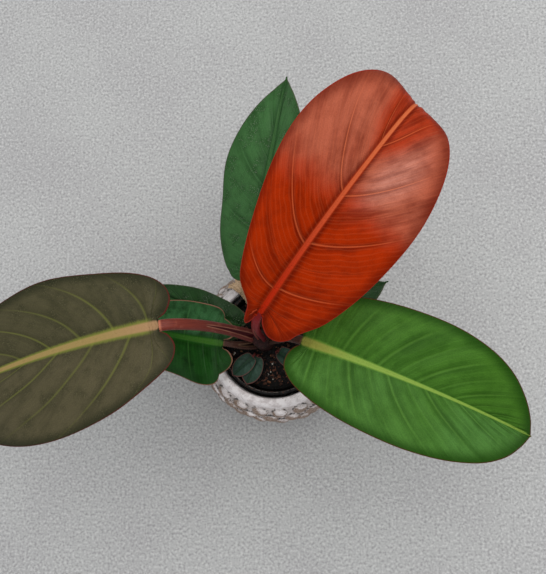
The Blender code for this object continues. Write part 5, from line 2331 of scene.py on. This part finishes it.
BRONZE_BLADE = BladeFinish(
    name="bronze_leaf_skin", slot="bronze_leaf", base=tint(65, 63, 42), shade=tint(34, 36, 20),
    flush=tint(84, 77, 56), vein=tint(102, 106, 46), rib=tint(162, 126, 90),
    rib_tip=tint(150, 126, 78), rib_edge=tint(120, 126, 52), margin=tint(84, 26, 22),
    under=tint(92, 74, 58), flush_and_sheen_left=(0.75, 0.75), flush_and_sheen_right=(0.35, 0.35),
    vein_strength=0.55, vein_width=0.050, vein_count=10.0, vein_start=0.12, vein_stagger=0.16,
    vein_contrast=0.12, vein_bend=0.065, fine_strength=0.03, streak_strength=0.20,
    band_strength=0.3, edge_shade=0.8, grain_strength=1.0, painted_vein_shade_strength=0.25, mottle_shade=0.42,
    valley_shade=0.35, speck=tint(120, 114, 84), speck_strength=0.30, roughness=0.44, gloss=0.08,
    rib_reach=0.86, seed=2.1,
)
BRIGHT_BLADE = BladeFinish(
    name="bright_leaf_skin", slot="bright_leaf", base=tint(58, 100, 16), shade=tint(26, 62, 4),
    flush=tint(76, 120, 56), vein=tint(90, 130, 50), rib=tint(140, 140, 62),
    rib_tip=tint(128, 156, 66), rib_edge=tint(96, 134, 44), margin=tint(84, 40, 24),
    under=tint(92, 126, 66), flush_and_sheen_left=(0.3, 0.2), flush_and_sheen_right=(0.5, 0.75),
    vein_strength=0.18, vein_width=0.10, vein_count=19.0, vein_contrast=0.3, fine_strength=0.05,
    streak_strength=0.60, edge_shade=0.9, grain_strength=0.9, mottle_shade=0.3,
    valley_shade=0.1, roughness=0.40, gloss=0.06, rib_glow=1.5, seed=0.4,
)
GREEN_BLADE = BladeFinish(
    name="green_leaf_skin", slot="green_leaf", base=tint(20, 66, 10), shade=tint(8, 38, 4),
    flush=tint(62, 110, 66), flush_and_sheen_left=(0.10, 0.10), flush_and_sheen_right=(0.85, 0.75), mottle_shade=0.8,
    grain_strength=0.9, vein=tint(62, 112, 44), rib=tint(72, 118, 40), rib_strength=0.55,
    rib_tip=tint(30, 84, 24), rib_turn=90.0, rib_edge=tint(26, 76, 16), margin=tint(140, 94, 76),
    under=tint(80, 108, 68), vein_strength=0.30, fine_strength=0.05, streak_strength=0.3,
    edge_shade=0.35, roughness=0.34, seed=3.6, rib_glow=2.2, gloss=0.10,
)
DARK_BLADE = BladeFinish(
    name="dark_leaf_skin", slot="dark_leaf", base=tint(50, 92, 42), shade=tint(20, 54, 14),
    flush=tint(78, 120, 76), grain_strength=0.9, vein=tint(56, 94, 52), rib=tint(52, 90, 42),
    rib_tip=tint(56, 94, 48), rib_edge=tint(34, 72, 32), margin=tint(70, 74, 50),
    under=tint(72, 98, 68), vein_strength=0.25, fine_strength=0.05, streak_strength=0.35,
    speck=tint(150, 160, 140), speck_strength=0.35, roughness=0.36, seed=4.8, gloss=0.12,
)
SHADED_BLADE = replace(
    DARK_BLADE, name="shaded_leaf_skin", base=tint(30, 64, 22), shade=tint(12, 36, 8),
    flush=tint(50, 84, 46), rib=tint(40, 76, 32), rib_tip=tint(40, 76, 32), seed=6.4,
)
YOUNG_BLADE = BladeFinish(
    name="young_leaf_skin", slot="young_leaf", base=tint(24, 52, 38), shade=tint(10, 28, 18),
    flush=tint(76, 106, 90), vein=tint(58, 88, 68), rib=tint(34, 62, 42),
    rib_tip=tint(30, 56, 38), rib_edge=tint(20, 46, 30), margin=tint(104, 62, 58),
    under=tint(78, 98, 78), flush_and_sheen_left=(0.65, 0.4), flush_and_sheen_right=(0.55, 0.3),
    vein_strength=0.3, vein_count=9.0, fine_strength=0.1,
    streak_strength=0.3, roughness=0.36, relief=0.0001, seed=5.5, gloss=0.12,
)

STEM = Stem()
STEM_AXIS = (STEM.x, STEM.y)
SOIL_ROOT = 0.0955

LEAVES = (
    Leaf(
        name="orange", blade=ORANGE_BLADE, stalk=RED_STALK, base=(-0.003, 0.015, 0.2465),
        heading=51, rise=37, droop=43, late=105, late_from=0.72, length=0.256,
        half_width=0.0718, roll=9.5, fold_left=(45, 7), fold_right=(17.5, 8.5), cup=23,
        lobe=0.8, belly=0.81, sharp=1.14, side=0.045, slim=(0.40, -0.01),
        pinch=(0.48, 0.14), wave=0.0015, root=(*STEM_AXIS, 0.1503), root_heading=70,
        petiole_radius=0.0042, take_off=88, sheath=0.6, seed=3, quilt=0.0008, lead=(0.3, 0.5),
        sweep=(0.55, 0.05), rib_tip=0.44,
    ),
    Leaf(
        name="left", blade=BRONZE_BLADE, stalk=BROWN_STALK, base=(-0.092, 0.004, 0.2565),
        heading=190, rise=-2.5, droop=18, sway=13, length=0.2445, half_width=0.0712, roll=4.4,
        roll_change=-3.9, fold_left=(19.4, 3), fold_right=(7.3, 8.4), lobe=0.87, belly=0.97,
        side=0.12, slim=(0.06, -0.09), wave_start=(0.06, 0.4), ripple=0.02,
        root=(*STEM_AXIS, 0.1280), root_heading=163, petiole_radius=0.0053, take_off=60, seed=4,
        quilt=0.0009, lead=(0.55, 0.55), sweep=(1.2, 0.4), rib_tip=0.25,
    ),
    Leaf(
        name="right", blade=BRIGHT_BLADE, stalk=DARK_STALK, base=(0.034, -0.008, 0.2220),
        heading=-20, rise=11.6, droop=47, sway=-5, length=0.2455, half_width=0.0608, roll=0.5,
        roll_change=-6.5, fold_left=(15, 20), fold_right=(17.5, 20.5), lobe=0.5, belly=1.02,
        sharp=1.1, side=0.02, wave=0.0015, root=(*STEM_AXIS, 0.1290), root_heading=-6,
        petiole_radius=0.0044, take_off=55, sheath=0.7, seed=5, rib_tip=0.22, rib_curve=3.0,
    ),
    Leaf(
        name="back", blade=DARK_BLADE, stalk=DARK_STALK, base=(-0.0185, 0.0545, 0.1900),
        heading=78, rise=26.5, droop=44, sway=2.5, length=0.2135, half_width=0.0492, roll=-33,
        roll_change=8, fold_left=(4, 20), fold_right=(13, 22), lobe=0.4, belly=1.14,
        sharp=1.44, side=0.08, slim=(0.10, 0.0), root=(*STEM_AXIS, 0.1220), root_heading=97,
        petiole_radius=0.0038, seed=6,
    ),
    Leaf(
        name="lower_left", blade=GREEN_BLADE, stalk=DARK_STALK, base=(-0.0493, -0.0062, 0.1545),
        heading=172, rise=-2, droop=31.5, sway=-10, length=0.1575, half_width=0.0402, roll=-14,
        roll_change=-4.5, fold_left=(9, 8.5), fold_right=(12, 12.5), lobe=1.16, belly=1.94,
        sharp=1.07, side=0.035, slim=(-0.23, -0.10), wave=0.0045,
        wave_start=(0.11, 0.05), root=(*STEM_AXIS, 0.1130), root_heading=214, petiole_radius=0.0034,
        take_off=52, sheath=0.95, sheath_widening=0.65, plan=VeinPlan.MEDIUM, seed=7,
    ),
    Leaf(
        name="under_left", blade=SHADED_BLADE, stalk=DARK_STALK, base=(-0.0335, 0.011, 0.1410),
        heading=157, rise=0, droop=28, sway=1, length=0.132, half_width=0.0225, roll=2,
        roll_change=5, fold_left=(14, 12), fold_right=(13, 12), lobe=0.5, belly=1.3, sharp=1.3,
        root=(*STEM_AXIS, 0.1060), root_heading=152, petiole_radius=0.0028, take_off=50,
        plan=VeinPlan.MEDIUM, quilt=0.0004, seed=8,
    ),
    Leaf(
        name="back_right", blade=SHADED_BLADE, stalk=DARK_STALK, base=(0.015, 0.0155, 0.1550),
        heading=22.5, rise=11, droop=45, length=0.1235, half_width=0.0300, roll=-35, lobe=1.0,
        sharp=1.95, root=(*STEM_AXIS, 0.1090), root_heading=42, petiole_radius=0.0028,
        take_off=52, plan=VeinPlan.MEDIUM, quilt=0.0004, seed=9,
    ),
    Leaf(
        name="juvenile_front", blade=YOUNG_BLADE, stalk=YOUNG_STALK,
        base=(-0.0225, -0.0185, 0.1205), heading=223, rise=6, droop=24, length=0.0300,
        half_width=0.0098, lobe=0.5, sharp=1.1, fold_left=(14, 10), fold_right=(14, 10),
        cup=24, wave=0.0004, root=(-0.0215, -0.0135, SOIL_ROOT), root_heading=240,
        petiole_radius=0.0011, take_off=88, plan=VeinPlan.SMALL, quilt=0.0001, swell=0.0001,
        rings=40, sides=20, seed=10,
    ),
    Leaf(
        name="juvenile_under", blade=YOUNG_BLADE, stalk=YOUNG_STALK,
        base=(-0.0178, -0.0185, 0.1165), heading=249, rise=4, droop=16, length=0.0320,
        half_width=0.0112, lobe=0.5, sharp=1.1, cup=20, wave=0.0004,
        root=(-0.0150, -0.0185, SOIL_ROOT), root_heading=200, petiole_radius=0.0011,
        take_off=88, plan=VeinPlan.SMALL, quilt=0.0001, swell=0.0001, rings=40, sides=20,
        seed=11,
    ),
    Leaf(
        name="juvenile_right", blade=YOUNG_BLADE, stalk=YOUNG_STALK,
        base=(0.0065, -0.0130, 0.1160), heading=-35, rise=8, droop=30, length=0.0340,
        half_width=0.0100, lobe=0.6, sharp=1.1, cup=20, wave=0.0004,
        root=(0.0020, -0.0140, SOIL_ROOT), root_heading=-10, petiole_radius=0.0011,
        take_off=88, plan=VeinPlan.SMALL, quilt=0.0001, swell=0.0001, rings=40, sides=20,
        seed=12,
    ),
)


def main() -> None:
    """Build and dress every sub-assembly."""
    logging.basicConfig(level=logging.INFO, format="%(message)s")
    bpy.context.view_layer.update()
    Studio().build()
    CeramicPot().build()
    nursery = NurseryPot()
    nursery.build()
    Soil(nursery).build()
    STEM.build()
    for leaf in LEAVES:
        leaf.build_blade()
        leaf.build_petiole()
    DrySheath().build()
    bpy.context.view_layer.update()


if __name__ == "__main__":
    main()
